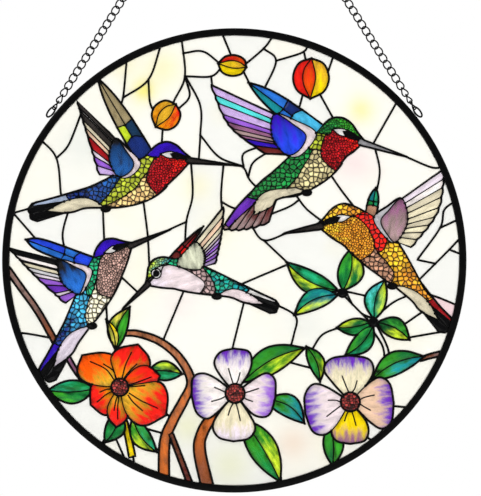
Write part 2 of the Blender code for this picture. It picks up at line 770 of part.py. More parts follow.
def make_frame(centre_height, material):
    """Make the channel frame: a web round the edge and a lip over each face of the panel."""
    lip_edge = disc_radius - FRAME_FACE
    web = disc_radius - FRAME_WEB
    face, groove = frame_depth / 2, channel_width / 2
    profile = [(disc_radius, -face), (disc_radius, face), (lip_edge, face), (lip_edge, groove),
               (web, groove), (web, -groove), (lip_edge, -groove), (lip_edge, -face)]
    return turned_ring("frame_ring", profile, FRAME_SIDES, centre_height, material)


def make_panel(centre_height, metal):
    """Make the leading and the panes from the picture's regions."""
    to_sheet = 1.0 / picture_scale
    edge = ellipse((0.0, 0.0), border_inner * to_sheet, border_inner * to_sheet, FRAME_SIDES)
    points, triangles, regions, walls = partition(edge, picture_shapes(), seams())
    kept = corner_points(points, triangles, regions, walls)
    colours = node_colours()
    openings, ground_number = [], 0
    for region in sorted(set(regions)):
        own = [triangle for triangle, owner in zip(triangles, regions) if owner == region]
        parts = inset(outline_loops(points, own, kept, walls), LEAD_WIDTH / 2 * to_sheet)
        if not region.startswith("ground_"):
            parts = parts[:1]
        for opening in parts:
            panes = inset(opening, FIT * to_sheet)
            if panes:
                openings.extend(opening)
            for pane in panes:
                name = region
                if region.startswith("ground_"):
                    ground_number += 1
                    name = f"pale_ground_{ground_number}"
                glass = make_material(name, colours.get(name, OPAL_WHITE), 0.15, transmission=0.7)
                prism(name, pane, GLASS_THICKNESS, centre_height, glass)
    outer = ellipse((0.0, 0.0), border_outer * to_sheet, border_outer * to_sheet, FRAME_SIDES)
    lattice = [outer] + [list(reversed(loop)) for loop in openings]
    prism("leading", lattice, LEAD_DEPTH, centre_height, metal)


def node_colours():
    """Return the plain colour of each glass node that isn't pale ground."""
    colours = {name: LEAF_GREEN for name in LEAVES}
    colours.update({name: BRANCH_BROWN for name in BRANCHES})
    colours.update({name: BUD_ORANGE for name in BUDS})
    for name, (centre, seed_radius, colour, petals) in BLOSSOMS.items():
        colours[name + "_petals"] = colour
        colours[name + "_centre"] = SEED_RED
    for name, bird in BIRDS.items():
        colours[name + "_body"] = bird["colour"]
        colours[name + "_tail"] = tuple(0.35 * value for value in bird["colour"])
        colours[name + "_near_wing"] = bird["wing_colour"]
        colours[name + "_far_wing"] = tuple(0.6 * value for value in bird["colour"])
    return colours


def make_hanging(metal):
    """Make the eyelets, the two strands and the middle link, and return the height of the disc's centre."""
    half_length = (LINK_PITCH + LINK_WIRE) / 2
    half_width = (LINK_WIDTH - LINK_WIRE) / 2
    link_centre = Vector((0.0, 0.0, LINK_WIRE / 2 - half_width))
    eyelet_radius = disc_radius + FIT + EYELET_WIDTH / 2
    eyelet_reach = (EYELET_LENGTH - EYELET_WIRE) / 2
    outward = Vector((math.cos(EYELET_ANGLE), 0.0, math.sin(EYELET_ANGLE)))
    upward = Vector((-math.sin(EYELET_ANGLE), 0.0, math.cos(EYELET_ANGLE)))
    eyelet_end = outward * eyelet_radius + upward * eyelet_reach
    hold = (LINK_WIRE + EYELET_WIRE) / 2 + FIT * 1.5
    link_hold = LINK_WIRE + FIT * 1.5

    hook_above_eyelet = HOOK_HEIGHT + disc_radius - eyelet_end.z
    slope = math.atan2(eyelet_end.x, hook_above_eyelet)
    pull = Vector((math.sin(slope), 0.0, -math.cos(slope)))
    lean = math.atan2(half_width * -pull.z, half_length * pull.x)
    start = link_centre + Vector((half_length * math.cos(lean), 0.0, -half_width * math.sin(lean)))
    start -= pull * link_hold
    across = eyelet_end.x - start.x - pull.x * -hold
    count = math.ceil(across / pull.x / LINK_PITCH)
    end = start + pull * (across / pull.x)
    centre_height = end.z - pull.z * hold - eyelet_end.z

    for name, side in (("chain_right", 1), ("chain_left", -1)):
        first, last = start.copy(), end.copy()
        first.x *= side
        last.x *= side
        strand(name, first, last, count, metal)
    body = bmesh.new()
    oval = oval_path(half_length, half_width, 0.0, MIDDLE_STATIONS)
    wire_loop(body, [point + link_centre for point in oval], LINK_WIRE * WIRE_SPREAD, 4, math.pi / 4)
    bmesh.ops.recalc_face_normals(body, faces=body.faces[:])
    add_object("hanging_link", body, metal)
    for name, side in (("eyelet_right", 1), ("eyelet_left", -1)):
        turn = Matrix.Rotation(-math.pi / 2 - EYELET_ANGLE, 4, "Y")
        place = Matrix.Translation(outward * eyelet_radius + Vector((0.0, 0.0, centre_height))) @ turn
        oval = oval_path(eyelet_reach, (EYELET_WIDTH - EYELET_WIRE) / 2, 0.0, EYELET_STATIONS)
        path = [place @ point for point in oval]
        for point in path:
            point.x *= side
        body = bmesh.new()
        wire_loop(body, path, EYELET_WIRE / 2, 5, 0.0)
        bmesh.ops.recalc_face_normals(body, faces=body.faces[:])
        add_object(name, body, metal)
    return centre_height


def build():
    """Build the whole suncatcher."""
    clear_scene()
    metal = make_material("black_metal", BLACK_METAL, 0.42, metallic=1.0)
    centre_height = make_hanging(metal)
    make_frame(centre_height, metal)
    make_panel(centre_height, metal)


build()
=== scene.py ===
"""The finished look of a round stained glass suncatcher, built on its CAD frame.

The panel stands in the XZ plane with its front towards -Y. The picture is laid out on a flat sheet in
millimetres, centred on the disc. Shapes of glass are laid over each other there, like cut paper, the sheet
is cut along all their outlines, and each place on it is scaled with the CAD disc.
"""

import math
import random
from collections import namedtuple
from functools import partial

import bmesh
import bpy
import numpy
from mathutils import Matrix, Vector, kdtree
from mathutils.geometry import delaunay_2d_cdt


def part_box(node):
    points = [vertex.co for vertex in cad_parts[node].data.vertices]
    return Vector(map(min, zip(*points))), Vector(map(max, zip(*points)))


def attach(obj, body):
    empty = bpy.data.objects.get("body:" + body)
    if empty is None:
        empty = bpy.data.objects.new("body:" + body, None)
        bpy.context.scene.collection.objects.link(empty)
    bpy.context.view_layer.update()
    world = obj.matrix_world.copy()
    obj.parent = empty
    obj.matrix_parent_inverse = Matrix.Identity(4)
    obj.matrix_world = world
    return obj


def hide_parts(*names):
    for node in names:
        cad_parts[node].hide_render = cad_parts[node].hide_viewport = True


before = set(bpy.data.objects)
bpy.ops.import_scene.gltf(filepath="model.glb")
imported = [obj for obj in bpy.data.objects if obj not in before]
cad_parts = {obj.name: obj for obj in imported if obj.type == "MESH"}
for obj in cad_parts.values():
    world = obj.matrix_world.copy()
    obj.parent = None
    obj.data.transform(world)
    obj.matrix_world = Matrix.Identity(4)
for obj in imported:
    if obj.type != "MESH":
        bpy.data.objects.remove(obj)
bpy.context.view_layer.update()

# Branches and stems: ribbons of streaky brown and yellow glass, edged with lead on both sides. They are laid
# first, because the leaves, blossoms and birds stand over them. Each has a width at its first and last point.

SPACING = 1.6
RACK = {"brown": "7c3c22", "copper": "b8683e", "maroon": "5c1512", "mauve": "a28482", "plum": "874f74",
        "rust": "c0561a", "taupe": "a67e72", "yellow": "ffd800"}
BRANCHES = {
    "branch_right_of_lily": ([(-71, -47), (-62, -47.5), (-48, -52.5), (-35.5, -63), (-28, -78),
                              (-33, -91), (-40, -104), (-45, -118), (-45.5, -146)],
                             3.4, 7, ("copper", "rust")),
    "branch_below_lily": ([(-71, -104), (-68, -117), (-66, -127)], 3.6, 4.2, "yellow"),
    "branch_below_cream": ([(-13, -99), (-20, -110), (-22.5, -122.5), (-17, -148)],
                           6.2, 8, ("rust", "brown")),
    "twig_left": ([(-147, -5), (-137, -19), (-127, -33), (-115, -54)],
                  3.8, 3.8, ("taupe", "brown")),
    "twig_lower": ([(-41, -112), (-36, -125), (-28, -146)], 3, 3.6, ("brown", "maroon")),
    "twig_lily": ([(-108, -62), (-102, -72), (-92, -84)], 3, 3, ("plum", "brown")),
    "stem_right": ([(120, -64), (128, -61.5), (140, -59)], 2.6, 3.4, ("brown", "mauve")),
}
Shape = namedtuple("Shape", "piece look near far base tip outline within")
shapes = []


def colour(name):
    """Return a glass colour as linear red, green and blue."""
    values = [int(RACK[name][place:place + 2], 16) / 255 for place in (0, 2, 4)]
    return tuple(value / 12.92 if value < 0.04 else ((value + 0.055) / 1.055) ** 2.4 for value in values)


def smooth_places(corners):
    """Return even places on a smooth curve from the second corner to the last but one, without its end."""
    made = []
    for a, b, c, d in zip(corners, corners[1:], corners[2:], corners[3:]):
        steps = max(1, round((c - b).length / SPACING))
        made += [0.5 * (b * 2 + (c - a) * t + (a * 2 - b * 5 + c * 4 - d) * t**2
                        + (b * 3 - a - c * 3 + d) * t**3) for t in (step / steps for step in range(steps))]
    return made


def run(*points):
    """Return a smooth curve through some points, without the last one."""
    points = [Vector(point) for point in points]
    return smooth_places([points[0] * 2 - points[1], *points, points[-1] * 2 - points[-2]])


def lay(piece, look, glass, outline, base=None, tip=None, within=None):
    """Lay a shape of glass over those laid before; a pair of colours runs from its base to its tip."""
    near, far = (glass, glass) if isinstance(glass, str) else glass
    base = Vector(base) if base is not None else outline[0]
    tip = Vector(tip) if tip is not None else max(outline, key=lambda point: (point - base).length)
    shapes.append(Shape(piece, look, colour(near), colour(far), base, tip, outline, within))


def lay_branch(points, first, last, glass):
    """Lay a ribbon along some points, whose width runs evenly from first to last."""
    points = [Vector(point) for point in points]
    left, right = [], []
    for place, point in enumerate(points):
        way = points[min(place + 1, len(points) - 1)] - points[max(place - 1, 0)]
        half = Vector((-way.y, way.x)).normalized() * (first + (last - first) * place / (len(points) - 1)) / 2
        left.append(point + half)
        right.append(point - half)
    lay("branch_panes", "streaky", glass, run(*left) + [left[-1]] + run(*reversed(right)) + [right[0]],
        points[0], points[-1])


for branch in BRANCHES.values():
    lay_branch(*branch)

# Leaves: pointed blades of streaky glass that runs from green into yellow or blue. Each is two halves with a
# lead midrib between them. A blade is its base, tip, width, bend, base colour and two tip colours.

RACK |= {"cyan": "46dcd8", "emerald": "109860", "grass": "0a5a20", "green": "0b7c2e", "leaf": "2a9c1a",
         "lemon": "fff04a", "lime": "c3e21c", "teal": "0a7c86"}
LEAVES = {
    "leaf_above_lily": [((-76.5, -58), (-67.5, -30), 12.5, 0.12, "leaf", "lemon", "leaf"),
                        ((-77, -58), (-83, -38), 5.5, -0.1, "lemon", "grass", "yellow")],
    "leaf_right_of_lily": [((-56, -71.5), (-33.5, -73.5), 12.5, 0.05, "green", "lime", "emerald")],
    "leaf_left_of_lily": [((-90, -83), (-121, -84), 15, 0.05, "green", "leaf", "emerald")],
    "leaf_below_lily_left": [((-75, -97), (-84, -118), 12.5, 0.12, "grass", "green", "green")],
    "leaf_below_lily_right": [((-66, -101), (-50, -124), 12, -0.1, "leaf", "emerald", "lime")],
    "leaf_above_cream": [((5, -79), (46, -56.5), 17, 0.08, "leaf", "grass", "lime"),
                         ((46.5, -55.5), (55.5, -78.5), 10, 0.1, "leaf", "lime", "green")],
    "leaf_right_of_cream": [((20, -90), (45.5, -105.5), 14, 0.15, "leaf", "teal", "teal")],
    "leaf_below_cream": [((5, -102), (30, -143.5), 18, 0.03, "leaf", "lime", "green")],
    "leaf_below_purple": [((62, -106), (63.5, -133), 13, 0.05, "leaf", "leaf", "grass")],
    "leaf_above_purple": [((89, -77), (123, -62), 14.5, 0.1, "leaf", "grass", "teal")],
    "left_sprig": [((67.5, -19.5), (33.5, -1), 14, 0.1, "green", "lime", "emerald"),
                   ((70, -20), (75.5, 8), 16.5, -0.1, "green", "leaf", "lime"),
                   ((67.5, -22), (38.5, -35.5), 13, -0.12, "teal", "lime", "emerald")],
    "right_sprig": [((90.5, -38.5), (97.5, -12.5), 14, 0.1, "emerald", "cyan", "lime"),
                    ((88, -40), (66, -43.5), 10.5, 0.06, "green", "green", "lime"),
                    ((92, -40), (113.5, -51.5), 13, 0.1, "grass", "leaf", "lime"),
                    ((90, -41.5), (71.5, -61.5), 12, 0.1, "green", "emerald", "leaf")],
}


def lay_leaf(base, tip, width, bend, near, left, right):
    """Lay a pointed leaf as two halves, each with its tip colour; bend is a share of its length."""
    base, tip = Vector(base), Vector(tip)
    length = tip - base
    side = Vector((-length.y, length.x))
    middle = (base + tip) / 2 + side * bend
    half = side.normalized() * width / 2
    low, high = base.lerp(middle, 0.5) + side * bend * 0.22, middle.lerp(tip, 0.5) + side * bend * 0.22
    rib = run(base, low, middle, high, tip) + [tip]
    for sign, far in ((1, left), (-1, right)):
        edge = run(base, low + half * 0.78 * sign, middle + half * sign, high + half * 0.7 * sign, tip)
        lay("leaf_panes", "streaky", (near, far), edge + list(reversed(rib))[:-1], base, tip)


for blades in LEAVES.values():
    for blade in blades:
        lay_leaf(*blade)

# Blossoms: a lily of pointed petals in streaky orange glass and two round-petalled ones in milky violet, each
# soldered round a disc of seed beads. A petal is its direction, length, width, lean, base and tip colours.

RACK |= {"blush": "f3dfe2", "cream": "f3e6bd", "flame": "ff4600", "garnet": "84221e", "gold": "f0ae1c",
         "orange": "ff8c00", "peach": "efc3a0", "pearl": "ecdcea", "purple": "5a1fae", "red": "f01008",
         "shell": "fff4ef", "violet": "8a4ccc"}
Form = namedtuple("Form", "look edge fade blunt creases")
POINTED = Form("streaky", ((0.28, 0.62), (0.55, 1), (0.8, 0.78)), (0.04, 0.78), 0,
               ((-0.35, 0.6), (0.1, 0.8)))
ROUND = Form("clear", ((0.4, 0.72), (0.68, 0.98), (0.9, 0.74)), (0.46, 0.96), 0.03,
             ((-0.3, 0.45), (0.3, 0.55)))
WAVER = (0.93, 1.05)
BLOSSOMS = [
    ((-74, -82), 5.6, "lily_petals", POINTED,
     [(205, 22, 23, 0.2, "orange", "red"), (125, 31, 27, 0.6, "gold", "flame"),
      (262, 26, 14, 0.2, "gold", "red"), (73, 30, 25, -0.25, "orange", "red"),
      (14, 27, 20, 0.1, "flame", "red"), (325, 35, 31, 0.15, "gold", "red")]),
    ((0.5, -86), 6.2, "cream_petals", ROUND,
     [(92, 30, 25, 0, "shell", "purple"), (268, 32, 27, 0, "cream", "pearl"),
      (186, 29, 30, -0.1, "shell", "purple"), (352, 27, 30, 0.1, "blush", "violet")]),
    ((75, -91.5), 6.2, "purple_petals", ROUND,
     [(270, 28, 25, 0, "yellow", "plum"), (90, 31, 33, 0.05, "cream", "purple"),
      (192, 31, 34, 0.1, "blush", "purple"), (2, 29, 33, -0.1, "peach", "purple")]),
]
creases = []
rng = random.Random(17)


def round_outline(centre, half_width, half_height):
    """Return an upright ellipse."""
    sides = max(10, round(2 * math.pi * half_width / SPACING))
    return [Vector((centre[0] + half_width * math.cos(2 * math.pi * i / sides),
                    centre[1] + half_height * math.sin(2 * math.pi * i / sides))) for i in range(sides)]


def lay_petal(piece, centre, form, degrees, length, width, lean, near, far):
    """Lay a wavy petal and note the short creases from its heart; its tip leans by a share of its width."""
    centre = Vector(centre)
    along = Vector((math.cos(math.radians(degrees)), math.sin(math.radians(degrees))))
    across = Vector((-along.y, along.x)) * width / 2
    edges = [[centre + along * length * place
              + across * (lean * place + share * sign * rng.uniform(*WAVER)) for place, share in form.edge]
             for sign in (1, -1)]
    tip = centre + along * length + across * lean
    tip -= along * length * form.blunt
    first, last = form.fade
    lay(piece, form.look, (near, far), run(centre, *edges[0], tip) + run(tip, *reversed(edges[1]), centre),
        centre + along * length * first, centre + along * length * last)
    for aside, reach in form.creases:
        middle = centre + along * length * reach * 0.6 + across * aside * 0.55
        creases.append([centre + along * length * 0.2 + across * aside * 0.2, middle,
                        centre + along * length * reach + across * (aside + lean * 0.6)])


for centre, seed_radius, piece, form, petals in BLOSSOMS:
    for petal in petals:
        lay_petal(piece, centre, form, *petal)
    lay("seed_panes", "seeds", "garnet", round_outline(centre, seed_radius, seed_radius))

# Buds and leaf knots. A bud is an oval of orange, gold and red glass in three panes that meet at its poles,
# and a knot is a drop of black glass where the leaves of a sprig come together.

RACK |= {"black": "0c0c0e"}
KNOTS = [(70, -21), (90, -40)]
KNOT_RADIUS = 2.8


def lay_bud(centre, half_width, half_height, degrees, crescent, middle, lobe):
    """Lay a bud: a crescent and two lobes in their colours, divided by arcs from pole to pole."""
    turn = math.radians(degrees)
    centre = Vector(centre)
    along = Vector((half_width * math.cos(turn), half_height * math.sin(turn)))
    across = Vector((-half_width * math.sin(turn), half_height * math.cos(turn)))
    foot, pole = centre - along * 1.12, centre + along
    left = [centre - along * 0.7 + across * 0.75, centre + across, centre + along * 0.72 + across * 0.7]
    right = [centre + along * 0.72 - across * 0.7, centre - across, centre - along * 0.7 - across * 0.75]
    way_back = run(pole, *right, foot)
    lay("bud_panes", "clear", crescent, run(foot, *left, pole) + way_back, foot, pole)
    lay("bud_panes", "clear", middle,
        run(foot, centre - along * 0.3 + across * 0.42, centre + along * 0.4 + across * 0.4, pole) + way_back,
        foot, pole)
    lay("bud_panes", "clear", lobe, run(foot, centre - across * 0.25, pole) + way_back, pole, foot)


lay_bud((-44, 94), 9.2, 9.4, 48, ("orange", "gold"), "gold", ("red", "orange"))
lay_bud((-0.8, 126), 8.8, 6.8, -10, ("red", "flame"), ("yellow", "gold"), "yellow")
lay_bud((49.6, 118.3), 11.6, 12.4, 88, "red", ("flame", "red"), ("gold", "yellow"))
for knot in KNOTS:
    lay("leaf_panes", "dark", "black", round_outline(knot, KNOT_RADIUS, KNOT_RADIUS))

# Birds: a body and a head of small glass beads with clear and black panes, a fan wing in front and a blade
# wing behind. Each is set by a few places and radii: the body bends from head to breast to vent, and the fan
# wing spans front, tip, trail and root. Fields on a body are (share of its length, -1 at belly to 1 at back).

RACK |= {"amber": "e08018", "azure": "39b4e8", "beige": "dcd0ae", "blue": "1a64d4", "cobalt": "144a96",
         "crimson": "a0080e", "indigo": "2406b4", "ink": "0a2440", "khaki": "bfb07a", "lavender": "e0d2e2",
         "lilac": "c7a6e6", "navy": "0b1e62", "olive": "94835a", "pea": "a2b022", "royal": "1538e6",
         "sage": "c9ccae", "silver": "cfcdd2", "smoke": "4b4542", "steel": "9fb0cf", "tan": "e0b26c",
         "umber": "b07a5c", "white": "fbf7f4"}
BIRDS = {
    "blue_bird": dict(
        head=(-44, 66.5), head_radius=10.2, bill_tip=(0, 61.5), breast=(-63, 49.5), breast_radius=12.8,
        vent=(-98, 40), vent_radius=5.5, tail_tip=(-129, 31), tail_spread=6, near_front=(-60.5, 62.5),
        near_tip=(-101.5, 103), near_trail=(-87, 55.5), near_root=(-67.5, 54), bow=0,
        far_root=(-56, 64), far_tip=(-88.5, 118), far_width=6,
        crown=("indigo", "indigo", "clear"), throat=("crimson", "red", "grain"), throat_reach=0.38,
        collar=("pea", [(-0.1, 1.3), (0.35, 1.3), (0.6, 0.8), (0.78, 0), (0.9, -1), (0.6, -0.5), (0.4, 0),
                        (0.15, 0.2)]),
        belly=("tan", [(0.3, 0.15), (0.55, -0.2), (0.74, -0.55), (0.84, -0.9), (0.84, -1.4), (0.3, -1.4)]),
        back=("cobalt", "navy"), under="beige", rump="steel", tail=("black", 2), covert=("cobalt", "black"),
        band="blush", bill=("smoke", "black"),
        feathers=[("smoke", 0.7), ("white", 0.35), ("smoke", 1), ("beige", 0.8), ("peach", 0.9),
                  ("crimson", 1.5), ("pearl", 0.8), ("violet", 1), ("lilac", 1)],
        far=("olive", "olive", "lime", "ink", "navy")),
    "violet_bird": dict(
        head=(-80, 4.5), head_radius=9.6, bill_tip=(-40, 20.5), breast=(-88, -17), breast_radius=11.4,
        vent=(-107, -49), vent_radius=6.4, tail_tip=(-121, -74), tail_spread=6.5, near_front=(-92, -6),
        near_tip=(-146, 8.5), near_trail=(-109, -27.5), near_root=(-96, -18), bow=0.02,
        far_root=(-90, -3), far_tip=(-135, 13.5), far_width=4.4, blunt=9,
        crown=("indigo", "indigo", "clear"), throat=("taupe", "taupe", "grain"), throat_reach=0.54,
        collar=("emerald", [(-0.1, 1.2), (0.3, 1.3), (0.46, 0.9), (0.62, 0.4), (0.6, 0), (0.4, 0.1),
                            (0.15, 0.25)]),
        belly=("cream", [(0.4, 0.15), (0.56, 0.15), (0.68, 0.1), (0.82, -0.4), (0.84, -1.4), (0.35, -1.4)]),
        back=("azure", "navy"), under="lavender", rump="indigo", tail=("black", 2), covert=("blue", "black"),
        band="blush", bill=("smoke", "black"),
        feathers=[("black", 0.9), ("shell", 0.7), ("smoke", 0.25), ("beige", 0.7), ("silver", 0.7),
                  ("pearl", 0.7), ("violet", 1.1), ("purple", 1.2), ("pearl", 0.5), ("violet", 0.9)],
        far=("blue", "royal", "blue", "blue", "royal")),
    "pale_bird": dict(
        head=(-47, -6.5), head_radius=8.6, bill_tip=(-73, -32), breast=(-28, -11), breast_radius=9.8,
        vent=(1, -19), vent_radius=4.8, tail_tip=(25, -30), tail_spread=4.5, near_front=(-37, -3),
        near_tip=(-7, 34.5), near_trail=(-12.5, -2), near_root=(-26, -6), bow=0.03,
        far_root=(-42, -1.5), far_tip=(-20, 22), far_width=2.4, round_eye=True,
        crown=("lime", "teal", "grain"), throat=("blush", "pearl", "clear"), throat_reach=0.66,
        belly=("mauve", [(0.3, 0.4), (0.42, 0.9), (0.62, 0.85), (0.78, -0.05), (0.8, -1.2), (0.55, -1.2),
                         (0.45, 0)]),
        back=("emerald", "teal"), under="blush", rump="white", tail=("black", 2), covert="sage",
        bill=("smoke", "black"),
        feathers=[("beige", 1.1), ("peach", 0.9), ("beige", 0.8), ("blush", 0.6), ("lilac", 0.6),
                  ("violet", 0.6), ("lilac", 0.6), ("violet", 0.6), ("lilac", 0.7)],
        far=("crimson", "maroon", "red", "crimson", "maroon")),
    "green_bird": dict(
        head=(67, 81.5), head_radius=11, bill_tip=(113, 66.5), breast=(50, 62), breast_radius=13.8,
        vent=(21, 44), vent_radius=8, tail_tip=(7.5, 23), tail_spread=15, tail_turn=40,
        under_from=0.7, under_edge=((0, -1.1), (0.3, -0.78), (0.62, -0.1)), near_front=(53, 82),
        near_tip=(-15, 113.5), near_trail=(20, 69), near_root=(43, 68), bow=0.12,
        far_root=(50, 85), far_tip=(9, 115), far_width=6.5,
        crown=("leaf", "grass", "grain"), throat=("crimson", "red", "grain"), throat_reach=0.36,
        collar=("pea", [(-0.1, 1.2), (0.1, 1.3), (0.3, 0.95), (0.4, 0.6), (0.3, 0.35), (0.05, 0.6)]),
        belly=("khaki", [(0.33, 0.35), (0.5, 0.3), (0.7, -0.1), (0.86, -0.5), (0.9, -1.4), (0.3, -1.4)]),
        back=("green", "grass"), under="beige", rump="purple", tail=("maroon", 6), covert=("royal", "indigo"),
        band="blush", bill="silver",
        feathers=[("lilac", 1), ("cyan", 0.8), ("lilac", 1.1), ("violet", 0.8), ("plum", 0.8), ("mauve", 0.8),
                  ("plum", 0.6), ("indigo", 1.1), ("maroon", 1.3)],
        far=("teal", "blue", "blue", "navy", "azure")),
    "gold_bird": dict(
        head=(71.5, 25.5), head_radius=11.2, bill_tip=(31, 17.3), breast=(91, 9), breast_radius=13.8,
        vent=(119, -22), vent_radius=5, tail_tip=(136.5, -42), tail_spread=6, near_front=(90, 27),
        near_tip=(136, 59.5), near_trail=(114, 8.5), near_root=(98, 14.5), bow=0.12,
        far_root=(88.5, 31), far_tip=(91.5, 47), far_width=3.6,
        crown=("gold", "amber", "beads"), throat=("amber", "gold", "grain"), throat_reach=0.5,
        collar=("red", [(0, 0.75), (0.15, 1.3), (0.36, 1.3), (0.56, 0.45), (0.54, -0.2), (0.36, -0.1),
                        (0.12, 0.3)]),
        belly=("umber", [(0.42, -0.05), (0.56, -0.1), (0.7, -0.15), (0.8, -0.5), (0.78, -1.4), (0.4, -1.4)]),
        back=("gold", "amber"), under="beige", rump="crimson", tail=("black", 2), covert=("mauve", "plum"),
        band="silver", bill=("smoke", "black"),
        feathers=[("pearl", 0.9), ("shell", 0.7), ("beige", 0.8), ("cream", 0.9), ("cream", 0.9),
                  ("beige", 0.8), ("cream", 0.8), ("beige", 0.8), ("cream", 0.8)],
        far=("emerald", "teal", "emerald", "green", "umber")),
}
FULLEST = 0.4
UNDER_FROM = 0.84
UNDER_EDGE = ((0.0, -1.25), (0.35, -1.15), (0.72, -0.2))
FOOT = (3.0, 1.9)
TAIL_ROUNDING = 3.0
FEATHER_ROUNDING = 0.8


def loop(points):
    """Return a closed smooth curve through some points."""
    points = [Vector(point) for point in points]
    return smooth_places([points[-1], *points, *points[:2]])


def facing(bird):
    """Return 1 where the back lies left of the way from head to vent, and -1 where it lies right."""
    head, vent = Vector(bird["head"]), Vector(bird["vent"])
    return 1 if (vent - head).cross(Vector(bird["near_tip"]) - head) > 0 else -1


def on_body(bird, share, across):
    """Return a place on the body: a share of the way from head to vent, and from -1 (belly) to 1 (back)."""
    head, breast, vent = Vector(bird["head"]), Vector(bird["breast"]), Vector(bird["vent"])
    control = breast * 2 - (head + vent) / 2
    centre = head * (1 - share) ** 2 + control * 2 * share * (1 - share) + vent * share**2
    heading = ((control - head) * (1 - share) + (vent - control) * share).normalized()
    neck, fullest, end = bird["head_radius"] * 0.92, bird["breast_radius"], bird["vent_radius"]
    if share < FULLEST:
        half = neck + (fullest - neck) * math.sin(math.pi / 2 * share / FULLEST)
    else:
        half = fullest + (end - fullest) * (1 - math.cos(math.pi / 2 * (share - FULLEST) / (1 - FULLEST)))
    return centre + Vector((-heading.y, heading.x)) * facing(bird) * half * across


def on_tail(bird, share, across):
    """Return a place on the tail: a share of the way from vent to tip, and from -1 to 1 across it."""
    vent = Vector(bird["vent"])
    tail = Vector(bird["tail_tip"]) - vent
    half = bird["vent_radius"] * 0.95
    over = Vector((-tail.y, tail.x)).normalized() * facing(bird)
    aside = over * (half + (bird["tail_spread"] - half) * share) * across
    aside.rotate(Matrix.Rotation(math.radians(bird.get("tail_turn", 0.0)) * min(share, 1.0), 2))
    return vent + tail * share + aside + tail.normalized() * TAIL_ROUNDING * (1 - across**2) * share


def lay_blade_wing(piece, bird):
    """Lay the wing behind: two vanes to the tip, two short ones and a root."""
    root, tip = Vector(bird["far_root"]), Vector(bird["far_tip"])
    blade = tip - root
    beside = Vector((-blade.y, blade.x)).normalized() * bird["far_width"] * -facing(bird)

    def at(share, across):
        return root + blade * share + beside * across * (1 - max(share, 0.0) ** bird.get("blunt", 3.5))

    upper_vane, lower_vane, upper_short, lower_short, root_glass = bird["far"]
    for glass, across in ((upper_vane, 1), (lower_vane, -1)):
        edge = run(*[at(share, across) for share in (0.44, 0.6, 0.75, 0.88)], tip)
        lay(piece, "clear", glass, [at(0.44, 0.05)] + edge + [tip])
    lay(piece, "clear", upper_short, [at(0.2, 0.1), at(0.2, 1), at(0.46, 1), at(0.44, 0.1)])
    lay(piece, "clear", lower_short, [at(0.2, 0.1), at(0.44, 0.1), at(0.46, -1), at(0.2, -1)])
    lay(piece, "clear", root_glass, run(at(-0.1, 1), at(0.1, 1), at(0.26, 1))
        + run(at(0.26, 1), at(0.3, 0), at(0.24, -1)) + [at(0.24, -1), at(-0.1, -1)])


def lay_tail(piece, bird):
    """Lay the tail: a fan of feathers and a coloured strip along its back edge."""
    body_at, at = partial(on_body, bird), partial(on_tail, bird)
    glass, count = bird["tail"]
    look, end_glass = ("dark", "black") if glass == "black" else ("clear", "mauve")
    for number in range(count):
        first, last = 1 - 2 * number / count, 1 - 2 * (number + 1) / count
        rounded = run(at(1, first), at(1.04, (first + last) / 2), at(1, last))
        lay(piece, look, (glass, end_glass), [at(0, first)] + rounded + [at(1, last), at(0, last)],
            bird["vent"], at(1.1, 0))
    lay(piece, "clear", bird["rump"], run(body_at(0.94, 1.0), at(0.5, 1.02), at(0.97, 1.02))
        + [at(0.97, 0.75), at(0.5, 0.4), at(0, 0.0)], bird["vent"], bird["tail_tip"])


def lay_body(piece, bird):
    """Lay the back's beads, the collar's and belly's fields on them, the plain undertail and the foot."""
    at, tail_at = partial(on_body, bird), partial(on_tail, bird)
    steps = [step / 10 for step in range(11)]
    body = run(*[at(share, 1.0) for share in steps], tail_at(0.3, 0.98))
    body += run(tail_at(0.3, 0.98), tail_at(0.24, 0.3), at(1.0, -0.3), at(0.9, -0.8))
    body += run(at(0.9, -0.8), *[at(share, -1.0) for share in reversed(steps[:9])])
    lay(piece, "beads", bird["back"], body, at(0.5, 0.0), at(1.1, 0.6))
    for field in ("collar", "belly"):
        if field in bird:
            glass, places = bird[field]
            lay(piece, "beads", glass, loop([at(*place) for place in places]), within=body)
    under = bird.get("under_from", UNDER_FROM)
    edge = [tail_at(*place) for place in bird.get("under_edge", UNDER_EDGE)]
    lay(piece, "clear", bird["under"], run(at(under, -1.0), *edge)
        + run(edge[-1], tail_at(0.3, 0.3), at(0.98, 0.05), at(under + 0.04, -0.6)))
    lay(piece, "dark", "black", round_outline(at(under, -1.06), *FOOT))


